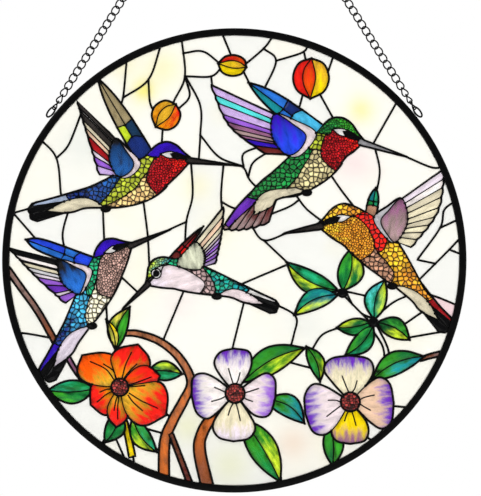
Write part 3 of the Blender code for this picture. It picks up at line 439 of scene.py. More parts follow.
def lay_head(piece, bird):
    """Lay the throat, crown, white streak, eye and bill, at shares of the head's radius ahead and above."""
    head, radius = Vector(bird["head"]), bird["head_radius"]
    bill_tip, body_at = Vector(bird["bill_tip"]), partial(on_body, bird)
    bill = (bill_tip - head).normalized()
    up = Vector((bill.y, -bill.x)) * facing(bird)

    def at(ahead, above):
        return head + bill * radius * ahead + up * radius * above

    near, deep, look = bird["throat"]
    reach = bird["throat_reach"]
    breast, chin, low = body_at(reach * 0.5, -1.0), at(1.5, -0.12), body_at(reach, -0.99)
    lay(piece, look, (near, deep),
        run(at(1.5, 0.0), at(0.4, 0.1), body_at(0.04, 0.5), body_at(reach * 0.6, 0.42),
            body_at(reach * 1.02, -0.1), low)
        + run(low, breast, (breast + chin) / 2 - up * radius * 0.06, chin),
        body_at(reach * 0.6, -0.2), at(1.6, -0.1))
    near, deep, look = bird["crown"]
    nape = body_at(0.16, 1.0)
    lay(piece, look, (near, deep),
        run(at(1.62, 0.12), at(1.1, 0.45), at(0.55, 0.86), at(-0.1, 1.0), at(-0.75, 0.68), nape)
        + run(nape, body_at(0.06, 0.45), at(-0.35, 0.2), at(0.25, 0.42), at(0.8, 0.26), at(1.62, 0.12)),
        at(1.2, 0.4), body_at(0.12, 0.8))
    lay(piece, "clear", "white", run(at(1.0, 0.22), at(0.3, 0.42), at(-0.45, 0.2))
        + run(at(-0.45, 0.2), at(0.2, -0.02), at(1.0, 0.22)))
    if bird.get("round_eye"):
        for look, glass, eye_radius in (("clear", "white", 3.3), ("dark", "black", 1.8)):
            lay(piece, look, glass, round_outline(at(0.45, 0.12), eye_radius, eye_radius))
    else:
        lay(piece, "dark", "black", run(at(1.6, 0.08), at(0.75, 0.36), at(0.22, 0.26))
            + run(at(0.22, 0.26), at(0.6, 0.0), at(1.6, 0.08)))
    lay(piece, "dark", bird["bill"], run(at(1.3, 0.16), at(2.2, 0.12), bill_tip)
        + run(bill_tip, at(2.2, -0.15), at(1.3, -0.18), at(1.3, 0.16)), at(1.4, 0), bill_tip)


def lay_fan_wing(piece, bird):
    """Lay the wing in front: feathers, a covert over their roots and a pale crescent before it."""
    front, tip, trail, root = (Vector(bird["near_" + place]) for place in ("front", "tip", "trail", "root"))
    side = -1 if (tip - front).cross(trail - front) > 0 else 1
    shoulder = front + (tip - front) * 0.40
    elbow = root + (trail - root) * 0.42

    def arc(start, end, bow):
        across = end - start
        return run(start, (start + end) / 2 + Vector((-across.y, across.x)) * bow, end) + [end]

    def along(points, share):
        place = share * (len(points) - 1)
        low = min(int(place), len(points) - 2)
        return points[low].lerp(points[low + 1], place - low)

    inner, outer = arc(shoulder, elbow, 0.2 * side), arc(tip, trail, bird["bow"] * side)
    whole = sum(width for _, width in bird["feathers"])
    done = 0.0
    for glass, width in bird["feathers"]:
        first, middle, last = (along(outer, (done + width * part) / whole) for part in (0.0, 0.5, 1.0))
        inside, inside_end = along(inner, done / whole), along(inner, (done + width) / whole)
        done += width
        quill = (inside + inside_end) / 2
        bulge = (middle - quill).normalized() * FEATHER_ROUNDING
        lay(piece, "dark" if glass in ("black", "smoke") else "clear", glass,
            [inside] + run(first, middle + bulge, last) + [last, inside_end], quill, middle)
    middle = (shoulder + elbow + root + front) / 4
    fore = front.lerp(shoulder, 0.5)
    fore += (fore - middle).normalized() * (front - middle).length * 0.15
    oval = [shoulder, fore, front, root, elbow, inner[len(inner) // 2]]
    if "band" in bird:
        lay(piece, "clear", bird["band"], loop(oval))
        oval[1:4] = [fore.lerp(middle, 0.28), front.lerp(middle, 0.46), root.lerp(middle, 0.3)]
    lay(piece, "streaky", bird["covert"], loop(oval), elbow, shoulder)


for name, bird in BIRDS.items():
    lay_blade_wing(name + "_wings", bird)
    lay_tail(name + "_body", bird)
    lay_body(name + "_body", bird)
    lay_head(name + "_body", bird)
    lay_fan_wing(name + "_wings", bird)

# Pale ground: milky opal glass round the figures, in panes that bowed lead ties part. A tie runs a little
# past its ends, so that it meets the figures, the frame or another tie. Soft stains tint a few places.

RACK |= {"frost": "f5f5ec", "ivory": "fffcea", "mint": "e4e6ac", "mist": "e4e7dc", "opal": "fffdef",
         "pink": "f7c9cd"}
OPALS = ["opal", "opal", "ivory", "frost"]
PINK_PANES = [(137, -32), (121, -5)]
PINK_REACH = 8.0
STAINS = [
    ((-58.5, 110), 8, 1, "lemon"), ((-46, 124), 13, 0.5, "lemon"), ((-72, 127), 10, 0.3, "lemon"),
    ((82, 97), 9, 0.7, "lemon"), ((78, 63), 12, 0.6, "pink"), ((-24, 48), 10, 0.35, "lemon"),
    ((-30, -108), 11, 0.8, "mint"), ((-3, -132), 14, 0.7, "mint"), ((38, -118), 11, 0.6, "peach"),
    ((-98, 74), 16, 0.8, "mist"), ((46, -42), 12, 0.6, "mist"), ((-125, -35), 14, 0.6, "mist"),
    ((-36, -28), 12, 0.3, "pink"), ((-12, 20), 12, 0.25, "lemon")]
TIES = [
    [(-69.5, 130), (-72, 105), (-75, 98)], [(-72, 105), (-55.5, 117), (-47.5, 139)],
    [(-55.5, 117), (-54.5, 102), (-51, 95)], [(-34, 143), (-32, 119), (-39, 103)],
    [(-31.5, 118), (-29, 106), (-36, 98)], [(-33, 134), (-20, 135), (-8, 126)],
    [(-31.5, 119), (-15, 119), (-8, 125)], [(-15, 119), (-14, 111)],
    [(-31.5, 119), (-22, 100), (-22, 81), (-23, 64)], [(-22, 81), (-10, 67), (5, 61)], [(-8, 147), (-1, 130)],
    [(-46, 90), (-47, 74)], [(-126, 79), (-115, 66), (-112, 42)], [(-99, 95), (-107, 75), (-115, 66)],
    [(-145, 33), (-124, 9)], [(-106, 36), (-111, 17), (-108, 2)], [(-85, 34), (-84, 10)],
    [(-59, 40), (-56, 16), (-55, -3)], [(-28, 64), (-27, 42), (-31, 25), (-32, 4)], [(-31, 25), (-44, 19)],
    [(-7, 62), (-8.5, 44), (-8, 32)], [(0, 61.5), (6, 60), (10, 52), (18, 44)],
    [(-8.5, 38), (-1, 34), (6, 33)], [(6, 60), (6, 69), (18, 74)], [(9, 54), (12, 63), (20, 69)],
    [(5, 125), (19, 137), (25, 145)], [(19, 137), (27, 129), (19, 110)], [(27, 129), (45, 135), (47, 142)],
    [(45, 135), (47, 126)], [(6, 122), (11, 112)], [(65, 135), (60, 120)], [(45, 110), (41, 95)],
    [(55, 108), (65, 90)], [(106, 104), (89, 74)], [(90, 76), (94, 58), (91, 40)],
    [(111, 67), (128, 60), (136, 61)], [(58, 62), (68, 47), (78, 34)], [(40, 42), (47, 33), (60, 23)],
    [(24, 30), (36, 35), (43, 40)], [(10, 24), (19, 13), (35, 18)], [(19, 13), (36, -3)],
    [(146, 40), (136, 33), (133, 21), (118, 0)], [(133, 21), (146, 27)], [(149, 18), (139, 7), (118, -14)],
    [(139, 7), (149, 3)], [(115, 1), (130, -2)], [(-149, -48), (-137, -47), (-114, -51)],
    [(-76, -8), (-62, -21)], [(-83, -24), (-82, -44)], [(-32, -18), (-47, -54)], [(7, -24), (-2, -60)],
    [(-52, -92), (-36, -106)], [(-60, -108), (-38, -114)], [(24, -27), (39.5, -36), (38.5, -48), (35, -60)],
    [(3, -16), (36, -2)], [(50, -58), (57, -48), (69, -43)], [(36, -66), (51, -70)], [(72, -20), (90, -24)],
    [(92, -36), (103, -27), (114, -22)], [(106, -44), (122, -33)], [(112, -50), (141, -45)],
    [(120, -20), (132, -24), (144, -29)], [(70, -22), (87, -39)], [(72, -20), (79, -32), (90, -38)],
    [(88, -43), (96, -56), (97, -68)], [(92, -42), (99, -56), (101, -68)], [(100, -94), (113, -95)],
    [(82, -112), (90, -117)], [(94, -98), (99, -112)], [(-117, -80), (-130, -87)], [(-84, -116), (-87, -120)],
    [(-66, -124), (-64, -135)], [(-78, -112), (-70, -130)], [(-56, -120), (-44, -124)],
    [(30, -140), (31, -146)], [(64, -130), (66, -136)], [(-88.5, 117), (-91, 120)], [(-131, 34), (-145, 30)],
]
TIE_REACH = 2.0
ties = []
for tie in TIES:
    line = run(*tie) + [Vector(tie[-1])]
    first = line[0] + (line[0] - line[1]).normalized() * TIE_REACH
    last = line[-1] + (line[-1] - line[-2]).normalized() * TIE_REACH
    ties.append([first, *line, last])

# The cut sheet: every pane of the panel, as a glazier would cut it. A triangle belongs to the shape that was
# laid last over it, triangles that no line parts make one pane, and slivers go to the neighbour with the
# longest border.

SHEET_RADIUS = 150.0
EDGE_GAP = 0.4
WELD = 0.12
SLIVER = 5.0
INFILL = 3.4
INFILL_CLEAR = 0.9
GROUND = len(shapes)
ring_low, ring_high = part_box("frame_ring")
lead_low, lead_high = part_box("leading")
disc_radius = (ring_high.x - ring_low.x) / 2
disc_centre = Vector((0.0, 0.0, (ring_high.z + ring_low.z) / 2))
to_metres = disc_radius / SHEET_RADIUS
sheet_edge = (lead_high.x - lead_low.x) / 2 / to_metres - EDGE_GAP


def finder(places):
    """Return a function that gives a place's distance to the nearest of some places."""
    tree = kdtree.KDTree(len(places))
    for number, place in enumerate(places):
        tree.insert((place.x, place.y, 0.0), number)
    tree.balance()
    return lambda place: tree.find((place.x, place.y, 0.0))[2]


def windings(outline, spots):
    """Return how often an outline winds round each of some spots, given as rows of an array."""
    first = numpy.array([tuple(point) for point in outline])
    after = numpy.roll(first, -1, axis=0)
    x, y = spots[:, 0:1], spots[:, 1:2]
    turn = (after[:, 0] - first[:, 0]) * (y - first[:, 1]) - (x - first[:, 0]) * (after[:, 1] - first[:, 1])
    rising = (first[:, 1] <= y) & (after[:, 1] > y) & (turn > 0)
    falling = (first[:, 1] > y) & (after[:, 1] <= y) & (turn < 0)
    return rising.sum(axis=1) - falling.sum(axis=1)


def cut_sheet():
    """Cut the sheet along all lines; return its points, its triangles, their shapes and the ties' edges."""
    border_line = round_outline((0.0, 0.0), sheet_edge, sheet_edge)
    places, lines = [], []
    for line in ties:
        lines.extend((place, place + 1) for place in range(len(places), len(places) + len(line) - 1))
        places.extend(line)
    tie_edges = len(lines)
    for outline in [border_line] + [shape.outline for shape in shapes]:
        start, count = len(places), len(outline)
        lines.extend((start + place, start + (place + 1) % count) for place in range(count))
        places.extend(outline)
    to_line = finder(places)
    reach = int(sheet_edge / INFILL)
    for column in range(-reach, reach + 1):
        for row in range(-reach, reach + 1):
            spare = Vector((column + rng.uniform(-0.3, 0.3), row + rng.uniform(-0.3, 0.3))) * INFILL
            if spare.length < sheet_edge - 1.0 and to_line(spare) > INFILL_CLEAR:
                places.append(spare)
    cut, edges, faces, _, sources, _ = delaunay_2d_cdt(places, lines, [], 0, WELD, True)
    centres = numpy.array([tuple(sum((cut[corner] for corner in face), Vector((0.0, 0.0))) / 3)
                           for face in faces])
    inside = windings(border_line, centres) != 0
    centres = centres[inside]
    owned = numpy.full(len(centres), GROUND)
    for number, shape in enumerate(shapes):
        corners = numpy.array([tuple(point) for point in shape.outline])
        boxed = (centres > corners.min(axis=0)) & (centres < corners.max(axis=0))
        near = numpy.all(boxed, axis=1).nonzero()[0]
        near = near[windings(shape.outline, centres[near]) != 0]
        if shape.within:
            near = near[windings(shape.within, centres[near]) != 0]
        owned[near] = number
    tied = {frozenset(edge) for edge, source in zip(edges, sources)
            if any(line < tie_edges for line in source)}
    return cut, [tuple(face) for face, kept in zip(faces, inside) if kept], owned.tolist(), tied


def gather_panes():
    """Return each triangle's pane, named by one of its triangles."""
    group = list(range(len(triangles)))

    def top(place):
        while group[place] != place:
            group[place] = group[group[place]]
            place = group[place]
        return place

    for side, pair in sides.items():
        if len(pair) == 2 and owners[pair[0]] == owners[pair[1]]:
            if owners[pair[0]] != GROUND or side not in tied:
                group[top(pair[0])] = top(pair[1])
    areas = {}
    for place, (a, b, c) in enumerate(triangles):
        area = abs((points[b] - points[a]).cross(points[c] - points[a])) / 2
        areas[top(place)] = areas.get(top(place), 0.0) + area
    for small in sorted((place for place in areas if areas[place] < SLIVER), key=areas.get):
        shared = {}
        for (first, second), pair in sides.items():
            ends = {top(place) for place in pair}
            if len(ends) == 2 and top(small) in ends:
                other = (ends - {top(small)}).pop()
                shared[other] = shared.get(other, 0.0) + (points[first] - points[second]).length
        if shared and areas[small] < SLIVER:
            other = max(shared, key=shared.get)
            areas[other] += areas[small]
            group[top(small)] = other
    return [top(place) for place in range(len(triangles))]


points, triangles, owners, tied = cut_sheet()
sides = {}
for place, triangle in enumerate(triangles):
    for corner in range(3):
        sides.setdefault(frozenset((triangle[corner - 1], triangle[corner])), []).append(place)
panes = gather_panes()

# Glass: each pane is a closed plate of cathedral or opal glass with a slightly domed front, and the lead
# holds its edge. Each point keeps its pane's two colours, its place along and across the pane (flow), and how
# far it is from the lead (clear).

DOME = 0.0003
DOME_REACH = 3.2
BUMP_DEPTH = 0.0004
FLOW_UNIT = 10.0
STREAKS_ACROSS = 2.8
# The same rounding also darkens each bead's colour towards its edge, as painted shade
CELL_ROUNDING = (0.5, 0.68, 1.0, 0.25)
glass_low, glass_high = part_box("pale_ground_1")
GLASS_HALF = (glass_high.y - glass_low.y) / 2
at_lead = {place for side, pair in sides.items() if len(pair) == 1 or panes[pair[0]] != panes[pair[1]]
           for place in side}
to_lead = finder([points[place] for place in at_lead])
clear_of_lead = [0.0 if place in at_lead else min(to_lead(point) / DOME_REACH, 1.0)
                 for place, point in enumerate(points)]


def fill(made, *in_order, **by_name):
    """Set a node's settings and inputs, and link the inputs that are given a socket, a node or a list."""
    inputs = dict(enumerate(in_order))
    for key, value in by_name.items():
        if hasattr(made, key):
            setattr(made, key, value)
        else:
            inputs[key.replace("_", " ")] = value
    for key, value in inputs.items():
        usable = [socket for socket in made.inputs if socket.enabled]
        target = usable[key] if isinstance(key, int) else {one.name: one for one in reversed(usable)}[key]
        for source in value if isinstance(value, list) else [value]:
            if isinstance(source, bpy.types.Node):
                source = next(output for output in source.outputs if output.enabled)
            if isinstance(source, bpy.types.NodeSocket):
                made.id_data.links.new(source, target)
            else:
                target.default_value = source
    return made


def node(tree, kind, *in_order, **by_name):
    """Add a node of a kind to a tree and fill it."""
    return fill(tree.nodes.new(kind), *in_order, **by_name)


def new_group(kind, name, inputs, outputs):
    """Return a node group with named inputs and outputs, and the sockets that give its inputs."""
    tree = bpy.data.node_groups.new(name, kind)
    for way, sockets in (("INPUT", inputs), ("OUTPUT", outputs)):
        for label, sort in sockets.items():
            tree.interface.new_socket(label, in_out=way, socket_type="NodeSocket" + sort)
    return tree, tree.nodes.new("NodeGroupInput").outputs


def ramp(tree, value, low, high, first=0.0, last=1.0, easing="SMOOTHSTEP"):
    """Add a node that runs from first to last while a value runs from low to high."""
    return node(tree, "ShaderNodeMapRange", value, low, high, first, last, interpolation_type=easing)


def product(tree, *factors):
    """Add nodes that multiply some values."""
    result = factors[0]
    for factor in factors[1:]:
        result = node(tree, "ShaderNodeMath", result, factor, operation="MULTIPLY")
    return result


def flat_cells(tree, place, scale, loose=0.8):
    """Add flat cells across the panel; return the node for their edges and the one for their centres."""
    split = node(tree, "ShaderNodeSeparateXYZ", place).outputs
    flat = node(tree, "ShaderNodeCombineXYZ", split["X"], split["Z"])
    return [node(tree, "ShaderNodeTexVoronoi", voronoi_dimensions="2D", feature=feature, Vector=flat,
                 Scale=scale, Randomness=loose) for feature in ("DISTANCE_TO_EDGE", "F1")]


# The tint of a pane: its two colours, streaks along its flow and painted shade darkening it beside the lead
pane_tint, given = new_group(
    "ShaderNodeTree", "pane_tint",
    dict(Near="Color", Far="Color", Flow="Vector", Clear="Float", Streak="Float", Rim="Float"),
    dict(Tint="Color", Wave="Float"))
flow = node(pane_tint, "ShaderNodeSeparateXYZ", given["Flow"]).outputs
stretched = node(pane_tint, "ShaderNodeCombineXYZ", product(pane_tint, flow["X"], flow["Z"]),
                 product(pane_tint, flow["Y"], STREAKS_ACROSS))
streaks = node(pane_tint, "ShaderNodeTexNoise", Vector=stretched, Scale=0.9, Detail=3.0, Roughness=0.55)
shifted = ramp(pane_tint, streaks, 0.3, 0.7, -0.38, 0.38, "LINEAR")
toward_tip = node(pane_tint, "ShaderNodeMath", flow["X"], shifted, operation="ADD")
two_tone = node(pane_tint, "ShaderNodeMix", ramp(pane_tint, toward_tip, 0.15, 0.95), given["Near"],
                given["Far"], data_type="RGBA")
shade = ramp(pane_tint, streaks, 0.3, 0.7, -1.0, 1.0, "LINEAR")
streaked = node(pane_tint, "ShaderNodeMath", shade, given["Streak"], 1.0, operation="MULTIPLY_ADD")
# Painted shade: the tint darkens towards the lead, over about the last 3 mm of the pane
rim = product(pane_tint, ramp(pane_tint, given["Clear"], 0.0, 0.9, 1.0, 0.0), given["Rim"])
dimmed = node(pane_tint, "ShaderNodeMath", streaked, rim, operation="SUBTRACT")
node(pane_tint, "NodeGroupOutput", Wave=streaks,
     Tint=node(pane_tint, "ShaderNodeVectorMath", two_tone, Scale=dimmed, operation="SCALE"))


def glass_material(name, roughness, streak, rim, bump, depth, transmission=0.85, cells=0.0, gap=0.22,
                   spread=0.5, loose=0.8):
    """Return a glass that shows its pane's tint, as deep as depth; cells is how many cells a metre holds."""
    material = bpy.data.materials.new(name)
    material.use_nodes = True
    tree = material.node_tree
    kept = {label: node(tree, "ShaderNodeAttribute", attribute_name=label.lower()).outputs[output]
            for label, output in (("Near", "Color"), ("Far", "Color"), ("Flow", "Vector"), ("Clear", "Fac"))}
    tint = node(tree, "ShaderNodeGroup", node_tree=pane_tint, Streak=streak, Rim=rim, **kept).outputs
    shown, height = tint["Tint"], tint["Wave"]
    if cells:
        height, centres = flat_cells(tree, node(tree, "ShaderNodeTexCoord").outputs["Object"], cells, loose)
        # Each cell's colour: dark gaps between the beads, partly their dark bed and partly painted shade;
        # painted shade darkening each bead towards its edge; a painted highlight lightening its middle; and a
        # random tone per bead
        cell_tone_and_shading = product(
            tree, ramp(tree, height, gap * 0.15, gap, 0.0, 1.2), ramp(tree, centres, *CELL_ROUNDING),
            ramp(tree, height, 0.1, 0.5, 0.8, 1.35),
            ramp(tree, centres.outputs["Color"], 0.2, 0.8, 1.0 - spread, 1.0 + spread, "LINEAR"))
        shown = node(tree, "ShaderNodeVectorMath", shown, Scale=cell_tone_and_shading, operation="SCALE")
    fill(tree.nodes["Principled BSDF"], Roughness=roughness, Transmission_Weight=transmission, IOR=1.45,
         Specular_IOR_Level=0.25, Base_Color=node(tree, "ShaderNodeGamma", shown, depth),
         Normal=node(tree, "ShaderNodeBump", Strength=bump, Distance=BUMP_DEPTH, Height=height))
    return material


# Each glass darkens beside the lead by its own amount of painted shade
GLASSES = {
    "clear": glass_material("clear_glass", 0.22, streak=0.26, rim=0.38, bump=0.15, depth=0.82),
    "opal": glass_material("opal_glass", 0.35, streak=0.02, rim=0.1, bump=0.1, depth=0.6),
    "dark": glass_material("dark_glass", 0.2, streak=0.35, rim=0.2, bump=0.2, depth=1.0, transmission=0.4),
    "grain": glass_material("grain_glass", 0.25, streak=0.12, rim=0.2, bump=0.3, depth=0.8, cells=620.0,
                            loose=1.0),
    "streaky": glass_material("streaky_glass", 0.22, streak=0.55, rim=0.45, bump=0.15, depth=0.82),
}

# Faint warm and rosy clouds in the opal glass
tree = GLASSES["opal"].node_tree
shader = tree.nodes["Principled BSDF"]
washed = shader.inputs["Base Color"].links[0].from_socket
for offset, scale, tone in ((0.0, 22.0, (1.0, 0.98, 0.90, 1.0)), (3.0, 24.0, (1.0, 0.97, 0.96, 1.0))):
    place = node(tree, "ShaderNodeVectorMath", node(tree, "ShaderNodeTexCoord").outputs["Object"],
                 (offset, 0.0, offset), operation="ADD")
    cloud = node(tree, "ShaderNodeTexNoise", Vector=place, Scale=scale, Detail=1.5)
    washed = node(tree, "ShaderNodeMix", ramp(tree, cloud, 0.55, 0.75, 0.0, 0.8), washed, tone,
                  data_type="RGBA", blend_type="MULTIPLY")
fill(shader, Base_Color=washed)


def to_frame(point, depth):
    """Return a place on the sheet, at a depth, in the row frame."""
    return Vector((point.x * to_metres, depth, point.y * to_metres)) + disc_centre


def stained(point, glass):
    """Return a ground colour at a place on the sheet, with the stains near it."""
    for centre, reach, strength, name in STAINS:
        share = strength * math.exp(-((point - Vector(centre)).length / reach) ** 2)
        glass = tuple(own + (other - own) * share for own, other in zip(glass, colour(name)))
    return glass


def show(name, mesh):
    """Put a mesh into the scene and return its object."""
    thing = bpy.data.objects.new(name, mesh)
    bpy.context.scene.collection.objects.link(thing)
    return thing


def glass_piece(name, parts, glasses):
    """Make one object from panes, given as (triangles, look, near, far, base, tip); glasses is by look."""
    places, faces, slots, clear = [], [], [], []
    tints = {"near": [], "far": [], "flow": []}
    for own, look, near, far, base, tip in parts:
        used = sorted({corner for triangle in own for corner in triangle})
        along = tip - base
        length = max(along.length, 1.0)
        along = along / length
        phase = rng.uniform(0.0, 60.0)
        front = {place: len(places) + order for order, place in enumerate(used)}
        back = {place: len(places) + len(used) + order for order, place in enumerate(used)}
        toned = {place: (near, far) for place in used}
        if look == "opal":
            toned = {place: (stained(points[place], near),) * 2 for place in used}
        for sign in (-1, 1):
            for place in used:
                rise = DOME * math.sin(math.pi / 2 * clear_of_lead[place]) if sign < 0 else 0.0
                places.append(to_frame(points[place], sign * (GLASS_HALF + rise)))
                offset = points[place] - base
                tints["near"] += toned[place][0]
                tints["far"] += toned[place][1]
                tints["flow"] += (offset.dot(along) / length, offset.cross(along) / FLOW_UNIT + phase,
                                  length / FLOW_UNIT)
                clear.append(clear_of_lead[place])
        edges = set()
        for a, b, c in own:
            faces += [(front[a], front[b], front[c]), (back[c], back[b], back[a])]
            edges.update(((a, b), (b, c), (c, a)))
        faces += [(front[b], front[a], back[a], back[b]) for a, b in edges if (b, a) not in edges]
        slots += [list(glasses).index(look)] * (len(faces) - len(slots))
    mesh = bpy.data.meshes.new(name)
    mesh.from_pydata(places, [], faces)
    for key, values in tints.items():
        mesh.attributes.new(key, "FLOAT_VECTOR", "POINT").data.foreach_set("vector", values)
    mesh.attributes.new("clear", "FLOAT", "POINT").data.foreach_set("value", clear)
    for material in glasses.values():
        mesh.materials.append(material)
    mesh.polygons.foreach_set("material_index", slots)
    return show(name, mesh)


by_pane = {}
for triangle, pane in zip(triangles, panes):
    by_pane.setdefault(pane, []).append(triangle)
pieces, beaded = {}, {}
for pane, own in by_pane.items():
    if owners[pane] == GROUND:
        glass = rng.choice(OPALS)
        middle = sum((points[triangle[0]] for triangle in own), Vector((0.0, 0.0))) / len(own)
        if min((middle - Vector(pink)).length for pink in PINK_PANES) < PINK_REACH:
            glass = "pink"
        part = (own, "opal", colour(glass), colour(glass), middle, middle + Vector((14.0, 0.0)))
        pieces.setdefault("pale_panes", []).append(part)
        continue
    shape = shapes[owners[pane]]
    part = (own, shape.look, shape.near, shape.far, shape.base, shape.tip)
    if shape.look in ("beads", "seeds"):
        beaded.setdefault((shape.piece, shape.look), []).append(part)
    else:
        pieces.setdefault(shape.piece, []).append(part)

NODES = {
    "pale_panes": ("opal_glass", [f"pale_ground_{number}" for number in range(1, 9)]),
    "leaf_panes": ("leaf_glass", list(LEAVES)),
    "bud_panes": ("bud_glass", ["bud_left", "bud_middle", "bud_right"]),
    "branch_panes": ("branch_glass", ["branch_right_of_lily", "branch_below_lily", "branch_below_cream",
                                      "twig_left"]),
    "lily_petals": ("lily_glass", ["lily_petals"]),
    "cream_petals": ("cream_glass", ["cream_blossom_petals"]),
    "purple_petals": ("purple_glass", ["purple_blossom_petals"]),
    "seed_panes": ("seed_glass", ["lily_centre", "cream_blossom_centre", "purple_blossom_centre"]),
}
for name in BIRDS:
    NODES[name + "_body"] = (name + "_glass", [name + "_body", name + "_tail"])
    wing_glass = name.replace("_bird", "_wing") + "_glass"
    NODES[name + "_wings"] = (wing_glass, [name + "_near_wing", name + "_far_wing"])
for name, parts in pieces.items():
    slot, nodes = NODES[name]
    thing = glass_piece(name, parts, GLASSES)
    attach(thing, "root")
    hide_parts(*nodes)

# Beads and seeds: small round lumps of glass, set close together in the birds' bodies and in the blossoms'
# hearts. Each field is one plate whose two faces are raised into cells, alike in its mesh and its colour. The
# colour adds painted shade at each cell's edge and a painted highlight in its middle.

BEADS_PER_METRE = 330.0
SEEDS_PER_METRE = 560.0
BEADS = {
    "beads": (BEADS_PER_METRE, 0.0006,
              glass_material("cobble_glass", 0.15, streak=0.1, rim=0.1, bump=0.0, depth=0.85,
                             cells=BEADS_PER_METRE)),
    "seeds": (SEEDS_PER_METRE, 0.0003,
              glass_material("seed_glass", 0.15, streak=0.1, rim=0.1, bump=0.0, depth=0.8, transmission=0.8,
                             cells=SEEDS_PER_METRE, gap=0.28, spread=0.9)),
}


def new_tree(name, **inputs):
    """Return a geometry tree that takes a geometry and some named values, and the sockets that give them."""
    inputs = {label.replace("_", " "): sort for label, sort in inputs.items()}
    return new_group("GeometryNodeTree", name, {"Geometry": "Geometry"} | inputs, {"Geometry": "Geometry"})


def close_tree(tree, shape, material):
    """End a geometry tree: smooth shading, real instances and one material."""
    smooth = node(tree, "GeometryNodeSetShadeSmooth", shape)
    real = node(tree, "GeometryNodeRealizeInstances", smooth)
    node(tree, "NodeGroupOutput", node(tree, "GeometryNodeSetMaterial", real, Material=material))


def grow(thing, tree, **values):
    """Run a geometry tree on an object and keep its result as the object's own mesh."""
    modifier = thing.modifiers.new("grow", "NODES")
    modifier.node_group = tree
    for item in tree.interface.items_tree:
        key = item.name.lower().replace(" ", "_")
        if item.in_out == "INPUT" and key in values:
            modifier[item.identifier] = values[key]
    bpy.context.view_layer.update()
    made = bpy.data.meshes.new_from_object(thing.evaluated_get(bpy.context.evaluated_depsgraph_get()))
    thing.modifiers.clear()
    thing.data = made


bead_tree, given = new_tree("beads", Cells="Float", Relief="Float", Glass="Material")
finer = node(bead_tree, "GeometryNodeSubdivideMesh", given["Geometry"], Level=3)
position = node(bead_tree, "GeometryNodeInputPosition")
edges, centres = flat_cells(bead_tree, position, given["Cells"])
beside_lead = node(bead_tree, "GeometryNodeInputNamedAttribute", data_type="FLOAT", Name="clear")
depth_of_place = node(bead_tree, "ShaderNodeSeparateXYZ", position).outputs["Y"]
height = product(
    bead_tree, given["Relief"], ramp(bead_tree, edges, 0.0, 0.4), ramp(bead_tree, centres, *CELL_ROUNDING),
    ramp(bead_tree, beside_lead, 0.0, 0.3),
    node(bead_tree, "ShaderNodeMath", depth_of_place, operation="SIGN"))
lift = node(bead_tree, "ShaderNodeCombineXYZ", Y=height)
raised = node(bead_tree, "GeometryNodeSetPosition", finer, Offset=lift)
close_tree(bead_tree, raised, given["Glass"])
for (piece, look), parts in beaded.items():
    cells, relief, glass = BEADS[look]
    slot, nodes = NODES[piece]
    thing = glass_piece(f"{piece}_{look}", parts, {look: glass})
    grow(thing, bead_tree, cells=cells, relief=relief, glass=glass)
    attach(thing, "root")
    if piece not in pieces:
        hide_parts(*nodes)

# Leading: black-patinated lead and solder between the panes, one soldered lattice. Its bars are rounded, and
# thinner inside a figure. A drop of solder covers each joint, and thin bars make the petals' short creases.

WIDE_HALF = 0.00084
THIN_HALF = 0.0005
LEAD_HALF_DEPTH = (lead_high.y - lead_low.y) / 2
DROP = (1.25, 1.25, 1.04)
black_metal = bpy.data.materials.new("black_metal")
black_metal.use_nodes = True
tree = black_metal.node_tree
place = node(tree, "ShaderNodeTexCoord").outputs["Object"]
mottle = node(tree, "ShaderNodeTexNoise", Vector=place, Scale=260.0, Detail=4.0)
fill(tree.nodes["Principled BSDF"], Base_Color=(0.002, 0.002, 0.0022, 1.0), Specular_IOR_Level=0.15,
     Roughness=ramp(tree, mottle, 0.3, 0.7, 0.32, 0.5, "LINEAR"),
     Normal=node(tree, "ShaderNodeBump", Strength=0.15, Distance=0.0002, Height=mottle))

lead_tree, given = new_tree("lead_bars", Wide_Half="Float", Thin_Half="Float", Half_Depth="Float",
                            Metal="Material")
thin = node(lead_tree, "GeometryNodeInputNamedAttribute", data_type="BOOLEAN", Name="thin")
parted = node(lead_tree, "GeometryNodeSeparateGeometry", given["Geometry"], thin, domain="EDGE").outputs
circle = node(lead_tree, "GeometryNodeCurvePrimitiveCircle", Resolution=8, Radius=1.0)
bars = []
for lines, half in ((parted["Inverted"], given["Wide Half"]), (parted["Selection"], given["Thin Half"])):
    upright = node(lead_tree, "GeometryNodeSetCurveNormal", node(lead_tree, "GeometryNodeMeshToCurve", lines),
                   mode="Z_UP")
    oval = node(lead_tree, "GeometryNodeTransform", circle,
                Scale=node(lead_tree, "ShaderNodeCombineXYZ", half, given["Half Depth"], 1.0))
    bars.append(node(lead_tree, "GeometryNodeCurveToMesh", upright, oval, Fill_Caps=True))
meeting = node(lead_tree, "FunctionNodeCompare", node(lead_tree, "GeometryNodeInputMeshVertexNeighbors"), 2,
               data_type="INT", operation="GREATER_THAN")
joints = node(lead_tree, "GeometryNodeMeshToPoints", given["Geometry"], meeting)
ball = node(lead_tree, "GeometryNodeMeshUVSphere", Segments=10, Rings=6, Radius=1.0)
wide = given["Wide Half"]
drop_size = node(lead_tree, "ShaderNodeCombineXYZ", wide, wide, given["Half Depth"])
drops = node(lead_tree, "GeometryNodeInstanceOnPoints", joints, Instance=ball,
             Scale=node(lead_tree, "ShaderNodeVectorMath", drop_size, DROP, operation="MULTIPLY"))
joined = node(lead_tree, "GeometryNodeJoinGeometry", [*bars, drops])
standing = node(lead_tree, "GeometryNodeTransform", joined, Rotation=(math.pi / 2, 0.0, 0.0))
close_tree(lead_tree, standing, given["Metal"])


def figure_of(place):
    """Return which figure a triangle's pane belongs to."""
    owner = owners[panes[place]]
    return "ground" if owner == GROUND else shapes[owner].piece.rsplit("_", 1)[0]


